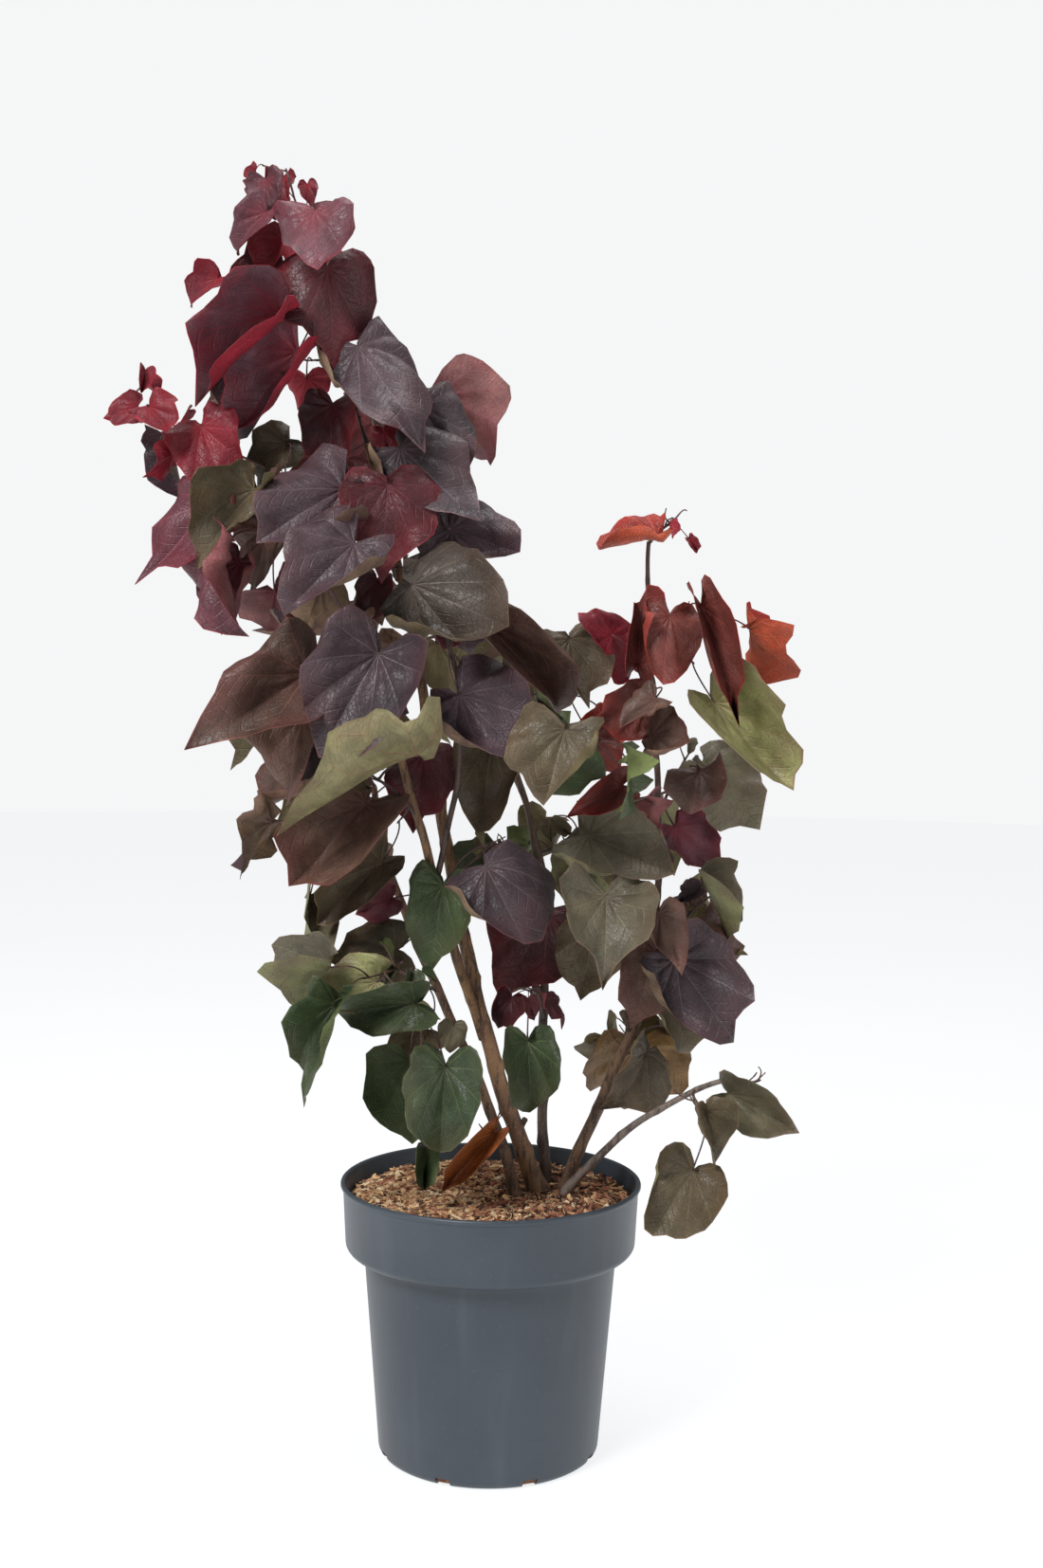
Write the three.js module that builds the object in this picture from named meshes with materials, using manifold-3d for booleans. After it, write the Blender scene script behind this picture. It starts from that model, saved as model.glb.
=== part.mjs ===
// A young multi-stemmed redbud in a nursery pot.
// Millimetres, +Z up. The origin is the middle of the pot's flat underside, and -Y is the front.
import * as THREE from 'three';
import { mergeVertices } from 'three/addons/utils/BufferGeometryUtils.js';
import Module from 'manifold-3d';

const wasm = await Module();
wasm.setup();

// ---- Driving sizes ------------------------------------------------------------------------
const GAP = 0.3; // between neighbouring pieces
const POT_HEIGHT = 277;
const POT_WALL = 2.4;
const BASE_RADIUS = 112.5;
const BASE_ROUND = 8;
const BODY_TOP_RADIUS = 129;
const COLLAR_BOTTOM = 206;
const COLLAR_EDGE_RADIUS = 135;
const COLLAR_RADIUS = 147.3;
const COLLAR_ROUND_TOP = 216;
const COLLAR_TOP_RADIUS = 150;
const LIP_RADIUS = 152.7;
const LIP_HEIGHT = 6;
const LIP_SLOPE = 2; // height of the slope under the lip
const LIP_CHAMFER = 1.5;
const LIP_INNER_DROP = 3;
const FLOOR_THICKNESS = 3;
const POT_SIDES = 36;
const DRAIN_COUNT = 8;
const DRAIN_WIDTH = 15;
const DRAIN_HEIGHT = 8;
const DRAIN_DEPTH = 12;
const ROUND_STEPS = 3; // faces in a quarter of a rounded edge

const SOIL_TOP = 266; // flat middle of the mulch, where the stems stand
const SOIL_EDGE = 258;
const SOIL_FLAT_RADIUS = 92;
const SOIL_INSET = 1; // further room at the top of the wall
const CUT_WIDTH = 400; // block that cuts the stems' feet flat
const CUT_DEPTH = 100;

const LIMB_SIDES = 7;
const LIMB_STEPS = 9;
const TWIG_SIDES = 3;
const TWIG_STEPS = 5;
const SPRIG_RADIUS = 1.4;
const SPRIG_LIFT = 0.1; // of its length, how far a sprig's end rises
const BARE_FOOT = 14; // no stalk leaves a twig nearer than this to the limb
const BARE_MOST = 0.5; // nor is more than this share of a twig kept bare
const NODE_STEP = 0.12; // between the nodes of a twig, as a share of it
const LAST_NODE = 0.96;
const TWIG_RADIUS = [1.9, 1.1];
const PETIOLE_RADIUS = 1;
const PETIOLE_LENGTH = 42;
const LONGEST_PETIOLE = 66; // past this a blade hangs on a sprig of its own
const PETIOLE_BEND = [0.45, 0.2]; // how far along it bends, and how far back, as shares of it
const FLARE_REACH = 16; // height in which a stem's foot narrows to its own radius

const BLADE_THICKNESS = 0.014; // of the blade's length
const LEAST_THICKNESS = 1.1;
const BLADE_CLEAR = 0.8; // least room between two blades
const TRIES = 7;
const NODE_TRIES = 4;

// What the seeded rule draws for a further blade, each between a low and a high end.
const GOLDEN_ANGLE = 137.5;
const ROUND_SHARE = 0.62; // of the full turn that the blades of a mass are spread over
const ALONG_TWIG = [0.25, 0.95];
const REACH = [0.21, 0.7]; // of the mass's spread
const RISE = [-0.35, 0.25]; // of that reach
const LENGTH = [0.72, 1.18]; // of the mass's size of blade
const HANG = [-42, 42];
const TWIST = [-40, 40];
const LEAN = [2, 40];
const FOLD = [-8, 34];
const ROLL = [-1.5, 1.3];
const CURL = [0, 0.6];

// How far a blade whose place is chosen may hang behind or before it, in the order tried.
const SHIFTS = [0, -14, 14, -28, 28, -42, 42];

const DEG = Math.PI / 180;
const WELD = 1e-4; // corners nearer than this are one
const TANGENT_STEP = 0.01; // share of a course over which its direction is read
const STRAIGHT = 1e-3; // a bend slower than this is a straight line

// Reach of the heart-shaped blade from its stalk, by the angle off the tip, as a share of length.
const HEART = [
  [0, 1], [14, 0.83], [30, 0.74], [72, 0.58], [90, 0.53], [120, 0.4], [142, 0.24], [180, 0.03],
];
const HEART_CORNERS = [30, 72, 120];
const RIB_MIDDLE = 0.55;

// ---- Stems and boughs ---------------------------------------------------------------------
// Each runs through four points, at equal steps of its course. A stem stands in the soil with
// a flare; a bough leaves its parent, and starts on the parent's centre line.
const LIMBS = {
  main_stem: {
    course: [[50, 4, 262], [-30, 9, 520], [-74, 18, 765], [-133, 15, 1020]],
    radius: [8.8, 3.4], flare: 4.5, colour: 0x7d5f45,
  },
  left_stem: {
    course: [[25, -16, 262], [-24, 4, 400], [-88, 45, 530], [-128, 80, 671]],
    radius: [5.6, 3.4], flare: 2.2, colour: 0x6b5645,
  },
  centre_stem: {
    course: [[56, 31, 262], [52, 42, 420], [48, 65, 560], [16, 100, 701]],
    radius: [5.6, 3.2], flare: 2.4, colour: 0x54443a,
  },
  right_stem: {
    course: [[75, 14, 262], [97, 12, 322], [122, 14, 380], [147, 17, 440]],
    radius: [6.4, 5], flare: 2.4, colour: 0x6f5a49,
  },
  low_stem: {
    course: [[71, -16, 262], [125, -28, 325], [182, -45, 370], [240, -55, 395]],
    radius: [4.4, 2.4], flare: 2, colour: 0x6d6058,
  },
  side_bough: {
    from: 'main_stem',
    course: [[-9, 7, 420], [-52, -26, 560], [-88, -42, 690], [-137, -55, 831]],
    radius: [5.2, 3.2], colour: 0x76593f,
  },
  fork_bough: {
    from: 'side_bough',
    course: [[-58, -30, 585], [-40, -45, 665], [-34, -58, 750], [-53, -75, 845]],
    radius: [3.2, 2.1], colour: 0x51423c,
  },
  right_bough: {
    from: 'right_stem',
    course: [[143, 16, 430], [168, 29, 600], [158, 28, 770], [152, 10, 925]],
    radius: [4.2, 2.1], colour: 0x5b453f,
  },
  back_bough: {
    from: 'centre_stem',
    course: [[50, 60, 530], [44, 105, 610], [10, 150, 700], [-40, 160, 800]],
    radius: [3.6, 2.2], colour: 0x54443a,
  },
};

// ---- Tints of the blades ------------------------------------------------------------------
const TINTS = {
  crimson: 0x8d2236, orange: 0xa83a22, mauve: 0x6d3f48, burgundy: 0x4f2029, slate: 0x45383f,
  brown: 0x6f5046, olive: 0x5d5a3c, green: 0x37452c, sage: 0x53564b,
  pale: 0x8a9468,
};

// ---- Masses of foliage --------------------------------------------------------------------
// from: the limb that carries the mass, and how far along it, 1 being its tip.
// way: where its stem runs to, by way of a middle point.
// show: blades whose place is chosen, each as
//   [stalk x, y, z, length, hang, turn, lean, fold, roll, curl, tint]
//   turn is the way it faces round the plant (0 is the front, 90 the right), hang swings its
//   tip to the right of who looks at its face, lean lifts the tip outwards, and fold, roll
//   and curl bend it.
// more: how many further blades the seeded rule hangs on, of about this size and these tints.
const MASSES = {
  leader_foliage: {
    from: ['main_stem', 1], way: [[-176, 14, 1160], [-213, 0, 1284]], seed: 11,
    show: [
      [-178, -64, 1231, 75, 10, -8, 32, -4, -0.4, 0.3, 'mauve'],
      [-167, -46, 1181, 94, 4, 12, 8, 8, -0.6, 0.2, 'burgundy'],
      [-230, -24, 1269, 40, 15, -14, 20, 4, 0.6, 0.2, 'mauve'],
      [-219, 4, 1283, 31, -10, -10, 12, 16, 0.8, 0.1, 'crimson'],
      [-189, -30, 1264, 21, 11, 6, 8, 20, 0.9, 0.1, 'crimson'],
      [-212, -36, 1134, 116, -49, -22, 12, 44, 1.2, 0.2, 'crimson'],
      [-138, -58, 1106, 122, 30, 12, 38, -8, -1.2, 0.5, 'slate'],
      [-200, -14, 1105, 100, -37, -20, 14, 28, 1.2, 0.4, 'burgundy'],
      [-228, -30, 1233, 57, -46, -30, 14, 24, 1, 0.3, 'mauve'],
      [-213, -56, 1212, 44, -36, -20, 10, 26, 1.2, 0.1, 'crimson'],
      [-222, -4, 1182, 62, -60, -30, 30, 18, 1, 0.2, 'burgundy'],
      [-270, -28, 1164, 40, -54, -30, 12, 20, 1.4, 0.2, 'crimson'],
      [-233, 14, 1083, 76, -35, -30, 10, 14, 0.8, 0.3, 'slate'],
    ],
    more: 6, size: 60, facing: -60, spread: 96, tints: ['crimson', 'mauve', 'burgundy'],
  },
  upper_right_foliage: {
    from: ['main_stem', 0.76], way: [[-92, 4, 930], [-70, 8, 1020]], seed: 23,
    show: [
      [-77, -6, 1054, 86, 28, 22, 20, 14, -1, 0.6, 'slate'],
      [-96, -34, 1010, 102, 44, 10, 30, 2, -1.6, 0.5, 'slate'],
      [-46, -30, 932, 82, 70, 16, 24, -6, -1.4, 0.4, 'slate'],
      [-80, -66, 874, 134, 65, 8, 36, -10, -1.7, 0.4, 'olive'],
      [-106, -26, 972, 88, -3, 4, 10, 14, -0.6, 0.2, 'burgundy'],
      [-166, 4, 1056, 74, -2, -10, 10, 22, 1, 0.2, 'burgundy'],
      [-115, -14, 1030, 28, 16, 4, 14, 20, 0.9, 0.2, 'crimson'],
      [-62, 8, 956, 74, 10, 10, 12, 18, 0.8, 0.2, 'slate'],
      [-43, 30, 852, 42, -18, 10, 12, 18, 0.8, 0.2, 'burgundy'],
      [-122, 30, 884, 46, -14, -10, 12, 18, 0.8, 0.2, 'burgundy'],
    ],
    more: 4, size: 78, facing: 60, spread: 116, tints: ['slate', 'burgundy', 'slate'],
  },
  upper_left_foliage: {
    from: ['side_bough', 1], way: [[-180, -46, 900], [-214, -24, 975]], seed: 31,
    show: [
      [-149, -64, 967, 104, -54, -10, 34, 8, -1.6, 0.5, 'slate'],
      [-135, -74, 912, 102, -40, -8, 32, 6, -1.2, 0.4, 'slate'],
      [-253, -26, 898, 72, -18, -30, 16, 12, -0.8, 0.3, 'mauve'],
      [-236, -56, 966, 95, -34, -24, 24, 34, 1.9, 0.3, 'olive'],
      [-232, 8, 934, 76, -12, -40, 12, 20, 0.9, 0.3, 'brown'],
      [-215, 6, 1020, 62, -42, -30, 14, 20, 1, 0.2, 'olive'],
    ],
    more: 4, size: 80, facing: -50, spread: 120, tints: ['brown', 'mauve', 'slate'],
  },
  left_tip_foliage: {
    from: ['main_stem', 0.86], way: [[-215, 32, 985], [-372, 0, 1052]], seed: 43,
    show: [
      [-293, -22, 1030, 76, 24, -4, 18, 14, 1, 0.3, 'crimson'],
      [-359, -10, 1050, 38, -70, -20, 20, 20, 1, 0.2, 'crimson'],
      [-340, -14, 1046, 46, 42, -10, 16, 18, -1, 0.2, 'crimson'],
      [-276, -32, 959, 103, -42, -24, 14, 8, -0.8, 0.3, 'mauve'],
      [-268, 6, 1074, 56, -16, -20, 14, 20, 0.8, 0.3, 'brown'],
      [-332, 24, 1020, 62, 16, -30, 10, 46, 1, 0.3, 'slate'],
    ],
    more: 4, size: 44, facing: -40, spread: 64, tints: ['crimson', 'mauve'],
  },
  fork_foliage: {
    from: ['fork_bough', 1], way: [[-46, -78, 868], [-30, -76, 890]], seed: 83,
    show: [
      [-34, -96, 770, 108, 46, 4, 22, -4, -1, 0.5, 'slate'],
      [-12, -60, 841, 134, 45, 20, 10, 58, 0.8, 0.3, 'brown'],
    ],
    more: 2, size: 60, facing: 20, spread: 60, tints: ['slate', 'burgundy'],
  },
  left_middle_foliage: {
    from: ['side_bough', 0.84], way: [[-160, -62, 800], [-215, -44, 826]], seed: 57,
    show: [
      [-183, -52, 788, 130, -54, -8, 34, 34, 0.6, -0.3, 'brown'],
      [-110, -90, 808, 121, -28, -6, 14, 20, 1, 0.3, 'slate'],
      [-192, -26, 746, 100, -6, -20, 18, 20, 0.8, 0.4, 'brown'],
      [-124, -20, 760, 112, -44, -20, 14, 22, 1, 0.2, 'slate'],
      [-135, 0, 850, 120, -30, -90, 74, -2, -0.6, 0.2, 'brown'],
    ],
    more: 4, size: 84, facing: -70, spread: 104, tints: ['slate', 'brown'],
  },
  left_front_foliage: {
    from: ['side_bough', 0.56], way: [[-104, -60, 680], [-140, -70, 700]], seed: 61,
    show: [
      [-72, -126, 713, 144, -9, -84, 70, 30, 0.2, 0.6, 'olive'],
      [-126, -72, 662, 122, -36, -14, 30, 26, 1, 0.3, 'brown'],
      [-112, -54, 601, 90, -43, -18, 26, 44, 1, 0.3, 'olive'],
    ],
    more: 2, size: 76, facing: -70, spread: 80, tints: ['olive', 'brown'],
  },
  left_stem_foliage: {
    from: ['left_stem', 1], way: [[-158, 92, 720], [-196, 90, 780]], seed: 73,
    show: [
      [-187, 0, 560, 89, -10, 30, 8, 60, 0.6, 0.2, 'sage'],
      [-73, 14, 709, 76, -7, 6, 8, 16, 0.8, 0.3, 'burgundy'],
    ],
    more: 8, size: 88, facing: -110, spread: 130, tints: ['olive', 'brown', 'slate'],
  },
  centre_foliage: {
    from: ['centre_stem', 1], way: [[14, 66, 760], [40, 24, 812]], seed: 97,
    show: [
      [72, -20, 826, 80, 10, 14, 18, 6, -0.8, 0.3, 'olive'],
      [46, -64, 720, 74, 65, 4, 12, 8, 0.8, 0.2, 'green'],
      [-3, -26, 728, 102, -6, -6, 10, 38, 0.6, 0.1, 'olive'],
      [109, 36, 744, 50, -61, 10, 20, 6, 0.8, 0.2, 'orange'],
      [95, 12, 730, 50, 35, 10, 14, 12, 0.8, 0.2, 'burgundy'],
      [123, -50, 683, 58, -60, 0, 20, 40, 1, 0.2, 'mauve'],
    ],
    more: 5, size: 80, facing: 60, spread: 100, tints: ['olive', 'slate', 'green'],
  },
  right_tip_foliage: {
    from: ['right_bough', 1], way: [[166, 6, 938], [176, 5, 946]], seed: 103,
    show: [
      [158, -6, 932, 68, -38, -70, 70, 10, 0.6, 0.2, 'orange'],
      [191, 4, 928, 18, 35, 20, 10, 30, 1, 0.1, 'crimson'],
    ],
    more: 1, size: 18, facing: 40, spread: 24, tints: ['crimson'],
  },
  right_upper_foliage: {
    from: ['right_bough', 0.74], way: [[176, 10, 822], [206, -4, 852]], seed: 113,
    show: [
      [138, -28, 802, 80, 170, 6, -8, 50, 1, 0.1, 'mauve'],
      [168, -64, 849, 74, -9, 6, 14, 8, -0.8, 0.3, 'mauve'],
      [199, -42, 857, 119, 18, 6, 6, 66, 0.8, 0.1, 'mauve'],
      [218, -16, 764, 118, 40, 10, 12, 44, 0.8, 0.2, 'pale'],
      [147, -30, 756, 66, -78, -4, 40, 4, -1.2, 0.3, 'burgundy'],
      [154, -44, 733, 58, 80, 10, 50, 4, -1, 0.3, 'brown'],
      [115, 8, 831, 42, -122, -6, 20, 14, 0.8, 0.2, 'crimson'],
      [137, 12, 799, 54, -160, -6, 10, 20, 0.8, 0.2, 'crimson'],
      [210, 2, 860, 17, 143, 20, 10, 30, 1, 0.1, 'crimson'],
    ],
    more: 2, size: 62, facing: 110, spread: 100, tints: ['burgundy', 'brown', 'orange'],
  },
  right_middle_foliage: {
    from: ['right_bough', 0.42], way: [[182, 50, 680], [206, 66, 720]], seed: 127,
    show: [
      [94, -54, 630, 97, 68, 4, 30, 26, -1.1, 0.4, 'sage'],
      [182, 6, 638, 56, 40, 20, 12, 16, 0.9, 0.2, 'mauve'],
    ],
    more: 4, size: 80, facing: 120, spread: 110, tints: ['sage', 'mauve', 'brown'],
  },
  right_low_foliage: {
    from: ['right_bough', 0.16], way: [[196, 20, 545], [222, 10, 570]], seed: 139,
    show: [
      [180, -44, 511, 104, 35, 10, 16, 4, -0.9, 0.3, 'slate'],
      [110, -74, 577, 86, -3, 2, 36, 4, 0.6, 0.2, 'sage'],
      [209, 0, 588, 71, 28, 40, 8, 50, 0.8, 0.1, 'sage'],
      [100, 2, 529, 72, -10, 6, 10, 16, 0.9, 0.2, 'olive'],
      [163, 10, 512, 80, -16, 6, 12, 18, 0.9, 0.2, 'brown'],
      [179, -6, 460, 70, 24, 20, 12, 24, 0.8, 0.2, 'olive'],
    ],
    more: 3, size: 74, facing: 120, spread: 90, tints: ['slate', 'brown', 'olive'],
  },
  middle_foliage: {
    from: ['centre_stem', 0.62], way: [[20, 30, 600], [-4, -20, 622]], seed: 149,
    show: [
      [-7, -94, 606, 106, 29, 2, 46, -4, -0.9, 0.4, 'slate'],
      [54, 34, 545, 102, -28, -4, 12, 10, 0.8, 0.2, 'burgundy'],
      [-50, -10, 581, 88, -7, -6, 12, 24, 0.8, 0.2, 'green'],
      [-98, -20, 511, 72, -82, -10, 18, 16, 0.8, 0.2, 'olive'],
      [-105, 12, 561, 42, -65, -10, 16, 16, 0.8, 0.2, 'mauve'],
    ],
    more: 2, size: 74, facing: 0, spread: 90, tints: ['olive', 'burgundy', 'green'],
  },
  heart_foliage: {
    from: ['centre_stem', 0.36], way: [[44, -6, 466], [38, -40, 476]], seed: 151,
    show: [
      [35, -64, 431, 79, 4, 6, 8, 36, 0.5, 0.2, 'green'],
      [19, -22, 467, 37, -23, -6, 12, 16, 0.8, 0.2, 'burgundy'],
      [36, -34, 472, 23, 13, 20, 10, 30, 0.8, 0.1, 'burgundy'],
    ],
    more: 1, size: 46, facing: 170, spread: 60, tints: ['burgundy', 'green'],
  },
  left_foot_foliage: {
    from: ['left_stem', 0.5], way: [[-84, -18, 486], [-96, -48, 500]], seed: 163,
    show: [
      [-75, -84, 471, 88, -80, -20, 24, 46, 0.8, 0.3, 'green'],
      [-148, -96, 474, 100, -17, -20, 10, 54, 0.6, 0.3, 'green'],
      [-114, -50, 486, 68, -84, -20, 34, 20, 0.8, 0.2, 'pale'],
      [-44, -96, 411, 89, -3, 2, 10, 34, 0.4, 0.1, 'green'],
      [-81, -50, 408, 86, 5, -8, 8, 14, 0.8, 0.1, 'green'],
      [-67, 0, 429, 52, -60, -14, 20, 14, 0.8, 0.2, 'olive'],
      [-39, -20, 438, 30, -7, 4, 10, 16, 0.6, 0.1, 'sage'],
      [-77, -30, 460, 28, 62, 4, 20, 20, 0.6, 0.1, 'pale'],
      [-62, -50, 325, 43, -3, 4, 10, 50, 0.6, 0.1, 'green'],
    ],
    more: 3, size: 66, facing: -120, spread: 80, tints: ['green', 'olive', 'sage'],
  },
  soil_foliage: {
    from: ['left_stem', 0.12], way: [[4, -44, 322], [0, -62, 340]], seed: 173,
    show: [
      [3, -76, 342, 76, -40, -12, 14, 58, 0.9, -0.1, 'orange'],
    ],
    more: 1, size: 46, facing: -60, spread: 60, tints: ['olive'],
  },
  right_foot_foliage: {
    from: ['right_stem', 0.7], way: [[138, 44, 404], [146, 58, 416]], seed: 181,
    show: [
      [152, 48, 404, 104, -4, 4, -34, 6, 0.6, 0.1, 'brown'],
    ],
    more: 3, size: 80, facing: 160, spread: 80, tints: ['olive', 'brown', 'green'],
  },
  low_tip_foliage: {
    from: ['low_stem', 1], way: [[252, -58, 392], [262, -62, 394]], seed: 191,
    show: [
      [233, -72, 383, 72, 62, 10, 20, 34, 0.9, 0.2, 'sage'],
    ],
    more: 1, size: 36, facing: 80, spread: 30, tints: ['sage'],
  },
  low_side_foliage: {
    from: ['low_stem', 0.78], way: [[200, -66, 376], [212, -74, 358]], seed: 193,
    show: [
      [208, -72, 372, 60, 8, 20, 6, 48, 0.6, 0.1, 'olive'],
      [195, -92, 316, 80, -30, -10, 10, 12, 0.6, 0.1, 'olive'],
    ],
    more: 1, size: 44, facing: 120, spread: 40, tints: ['sage'],
  },
  back_upper_foliage: {
    from: ['main_stem', 0.92], way: [[-130, 70, 1040], [-160, 110, 1100]], seed: 199,
    show: [],
    more: 8, size: 84, facing: 180, spread: 140, tints: ['mauve', 'slate', 'burgundy'],
  },
  back_bough_foliage: {
    from: ['back_bough', 1], way: [[-84, 160, 860], [-120, 150, 920]], seed: 211,
    show: [],
    more: 10, size: 88, facing: 170, spread: 140, tints: ['slate', 'brown', 'olive'],
  },
  back_low_foliage: {
    from: ['back_bough', 0.3], way: [[70, 130, 610], [110, 150, 640]], seed: 223,
    show: [],
    more: 7, size: 84, facing: 160, spread: 120, tints: ['sage', 'olive', 'green'],
  },
};

// ---- Small tools --------------------------------------------------------------------------
const vec = (p) => new THREE.Vector3(...p);

// A repeatable dice: the same seed always gives the same plant.
const DICE_STEP = [1664525, 1013904223];
const DICE_RANGE = 2 ** 32;

class Dice {
  constructor(seed) {
    this.state = seed;
  }

  roll(low, high) {
    const [times, plus] = DICE_STEP;
    this.state = (this.state * times + plus) % DICE_RANGE;
    return low + (high - low) * this.state / DICE_RANGE;
  }
}

// The cubic through four points at thirds of its course.
class Course extends THREE.Curve {
  constructor(points) {
    super();
    this.points = points.map(vec);
  }

  getPoint(t) {
    const weights = [
      -4.5 * (t - 1 / 3) * (t - 2 / 3) * (t - 1),
      13.5 * t * (t - 2 / 3) * (t - 1),
      -13.5 * t * (t - 1 / 3) * (t - 1),
      4.5 * t * (t - 1 / 3) * (t - 2 / 3),
    ];
    const sum = new THREE.Vector3();
    this.points.forEach((p, i) => sum.addScaledVector(p, weights[i]));
    return sum;
  }
}

// A twig's course: a plain bow through start, middle and end.
class Bow extends THREE.Curve {
  constructor(start, middle, end) {
    super();
    this.points = [start, middle, end];
  }

  getPoint(t) {
    const weights = [(1 - t) * (1 - 2 * t), 4 * t * (1 - t), t * (2 * t - 1)];
    const sum = new THREE.Vector3();
    this.points.forEach((p, i) => sum.addScaledVector(p, weights[i]));
    return sum;
  }
}

function toSolid(geometry) {
  const plain = geometry.index ? geometry.toNonIndexed() : geometry.clone();
  plain.deleteAttribute('normal');
  plain.deleteAttribute('uv');
  const merged = mergeVertices(plain, WELD);
  return new wasm.Manifold(new wasm.Mesh({
    numProp: 3,
    vertProperties: merged.attributes.position.array,
    triVerts: new Uint32Array(merged.index.array),
  }));
}

function toGeometry(solid) {
  const mesh = solid.getMesh();
  const geometry = new THREE.BufferGeometry();
  geometry.setAttribute('position', new THREE.BufferAttribute(new Float32Array(mesh.vertProperties), 3));
  geometry.setIndex(new THREE.BufferAttribute(new Uint32Array(mesh.triVerts), 1));
  geometry.computeVertexNormals();
  return geometry;
}

// A round rod bent along a curve. radiusAt gives its radius at each share of the course.
function rod(curve, radiusAt, sides, steps, extra = 0) {
  const geometry = new THREE.CylinderGeometry(1, 1, 1, sides, steps);
  const place = geometry.attributes.position;
  const start = curve.getPoint(0);
  const run = curve.getPoint(1).sub(start);
  const across = [Math.abs(run.x), Math.abs(run.y), Math.abs(run.z)];
  const least = across.indexOf(Math.min(...across));
  const guide = new THREE.Vector3().setComponent(least, 1);
  for (let i = 0; i < place.count; i += 1) {
    const t = place.getY(i) + 0.5;
    const low = Math.max(0, t - TANGENT_STEP);
    const high = Math.min(1, t + TANGENT_STEP);
    const along = curve.getPoint(high).sub(curve.getPoint(low)).normalize();
    const first = guide.clone().addScaledVector(along, -guide.dot(along)).normalize();
    const second = new THREE.Vector3().crossVectors(along, first);
    const radius = radiusAt(t) + extra;
    const point = curve.getPoint(t);
    if (t < TANGENT_STEP) point.addScaledVector(along, -extra);
    if (t > 1 - TANGENT_STEP) point.addScaledVector(along, extra);
    // x, z of the upright cylinder turn to the frame so that its faces still point outwards
    point.addScaledVector(second, place.getX(i) * radius);
    point.addScaledVector(first, place.getZ(i) * radius);
    place.setXYZ(i, point.x, point.y, point.z);
  }
  return toSolid(geometry);
}

// ---- Pot and its filling ------------------------------------------------------------------
function lathe(outline) {
  const points = outline.map(([radius, height]) => new THREE.Vector2(radius, height));
  const geometry = new THREE.LatheGeometry(points, POT_SIDES);
  geometry.rotateX(Math.PI / 2);
  return toSolid(geometry);
}

// The radius of the pot's outer wall at a height below the collar.
function bodyRadius(height) {
  return THREE.MathUtils.lerp(BASE_RADIUS, BODY_TOP_RADIUS, height / COLLAR_BOTTOM);
}

function arc(centre, radii, from, to, steps) {
  const points = [];
  for (let i = 0; i <= steps; i += 1) {
    const angle = THREE.MathUtils.lerp(from, to, i / steps) * DEG;
    points.push([centre[0] + radii[0] * Math.cos(angle), centre[1] + radii[1] * Math.sin(angle)]);
  }
  return points;
}

function makePot() {
  const lipTop = POT_HEIGHT;
  const shoulder = COLLAR_BOTTOM + POT_WALL;
  const roundOver = [COLLAR_RADIUS - COLLAR_EDGE_RADIUS, COLLAR_ROUND_TOP - COLLAR_BOTTOM];
  const outline = [
    [0, 0],
    ...arc([BASE_RADIUS - BASE_ROUND, BASE_ROUND], [BASE_ROUND, BASE_ROUND], -90, 0, ROUND_STEPS),
    [BODY_TOP_RADIUS, shoulder],
    ...arc([COLLAR_EDGE_RADIUS, COLLAR_ROUND_TOP], roundOver, -90, 0, ROUND_STEPS),
    [COLLAR_TOP_RADIUS, lipTop - LIP_HEIGHT],
    [LIP_RADIUS, lipTop - LIP_HEIGHT + LIP_SLOPE],
    [LIP_RADIUS, lipTop - LIP_CHAMFER],
    [LIP_RADIUS - LIP_CHAMFER, lipTop],
    [COLLAR_TOP_RADIUS - POT_WALL + LIP_CHAMFER, lipTop],
    [COLLAR_TOP_RADIUS - POT_WALL, lipTop - LIP_INNER_DROP],
    [COLLAR_RADIUS - POT_WALL, COLLAR_ROUND_TOP + POT_WALL],
    [BODY_TOP_RADIUS - POT_WALL, shoulder + POT_WALL],
    [BASE_RADIUS - POT_WALL, FLOOR_THICKNESS],
    [0, FLOOR_THICKNESS],
  ];
  let pot = lathe(outline);
  for (let i = 0; i < DRAIN_COUNT; i += 1) {
    const drain = new THREE.BoxGeometry(DRAIN_WIDTH, DRAIN_DEPTH, 2 * DRAIN_HEIGHT);
    drain.translate(0, -(BASE_RADIUS + 1 - DRAIN_DEPTH / 2), 0);
    drain.rotateZ((i + 0.5) * 2 * Math.PI / DRAIN_COUNT);
    pot = pot.subtract(toSolid(drain));
  }
  return pot;
}

function makeRootBall() {
  const inset = POT_WALL + 2 * GAP;
  const shoulder = COLLAR_BOTTOM + POT_WALL;
  return lathe([
    [0, FLOOR_THICKNESS + GAP],
    [BASE_RADIUS - inset, FLOOR_THICKNESS + GAP],
    [BODY_TOP_RADIUS - inset, shoulder + POT_WALL],
    [COLLAR_RADIUS - inset, COLLAR_ROUND_TOP + POT_WALL + GAP],
    [COLLAR_TOP_RADIUS - inset - SOIL_INSET, SOIL_EDGE],
    [SOIL_FLAT_RADIUS, SOIL_TOP],
    [0, SOIL_TOP],
  ]);
}

// ---- Stems --------------------------------------------------------------------------------
const groundSlab = (() => {
  const slab = new THREE.BoxGeometry(CUT_WIDTH, CUT_WIDTH, CUT_DEPTH);
  slab.translate(0, 0, SOIL_TOP + GAP - CUT_DEPTH / 2);
  return toSolid(slab);
})();

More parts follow.
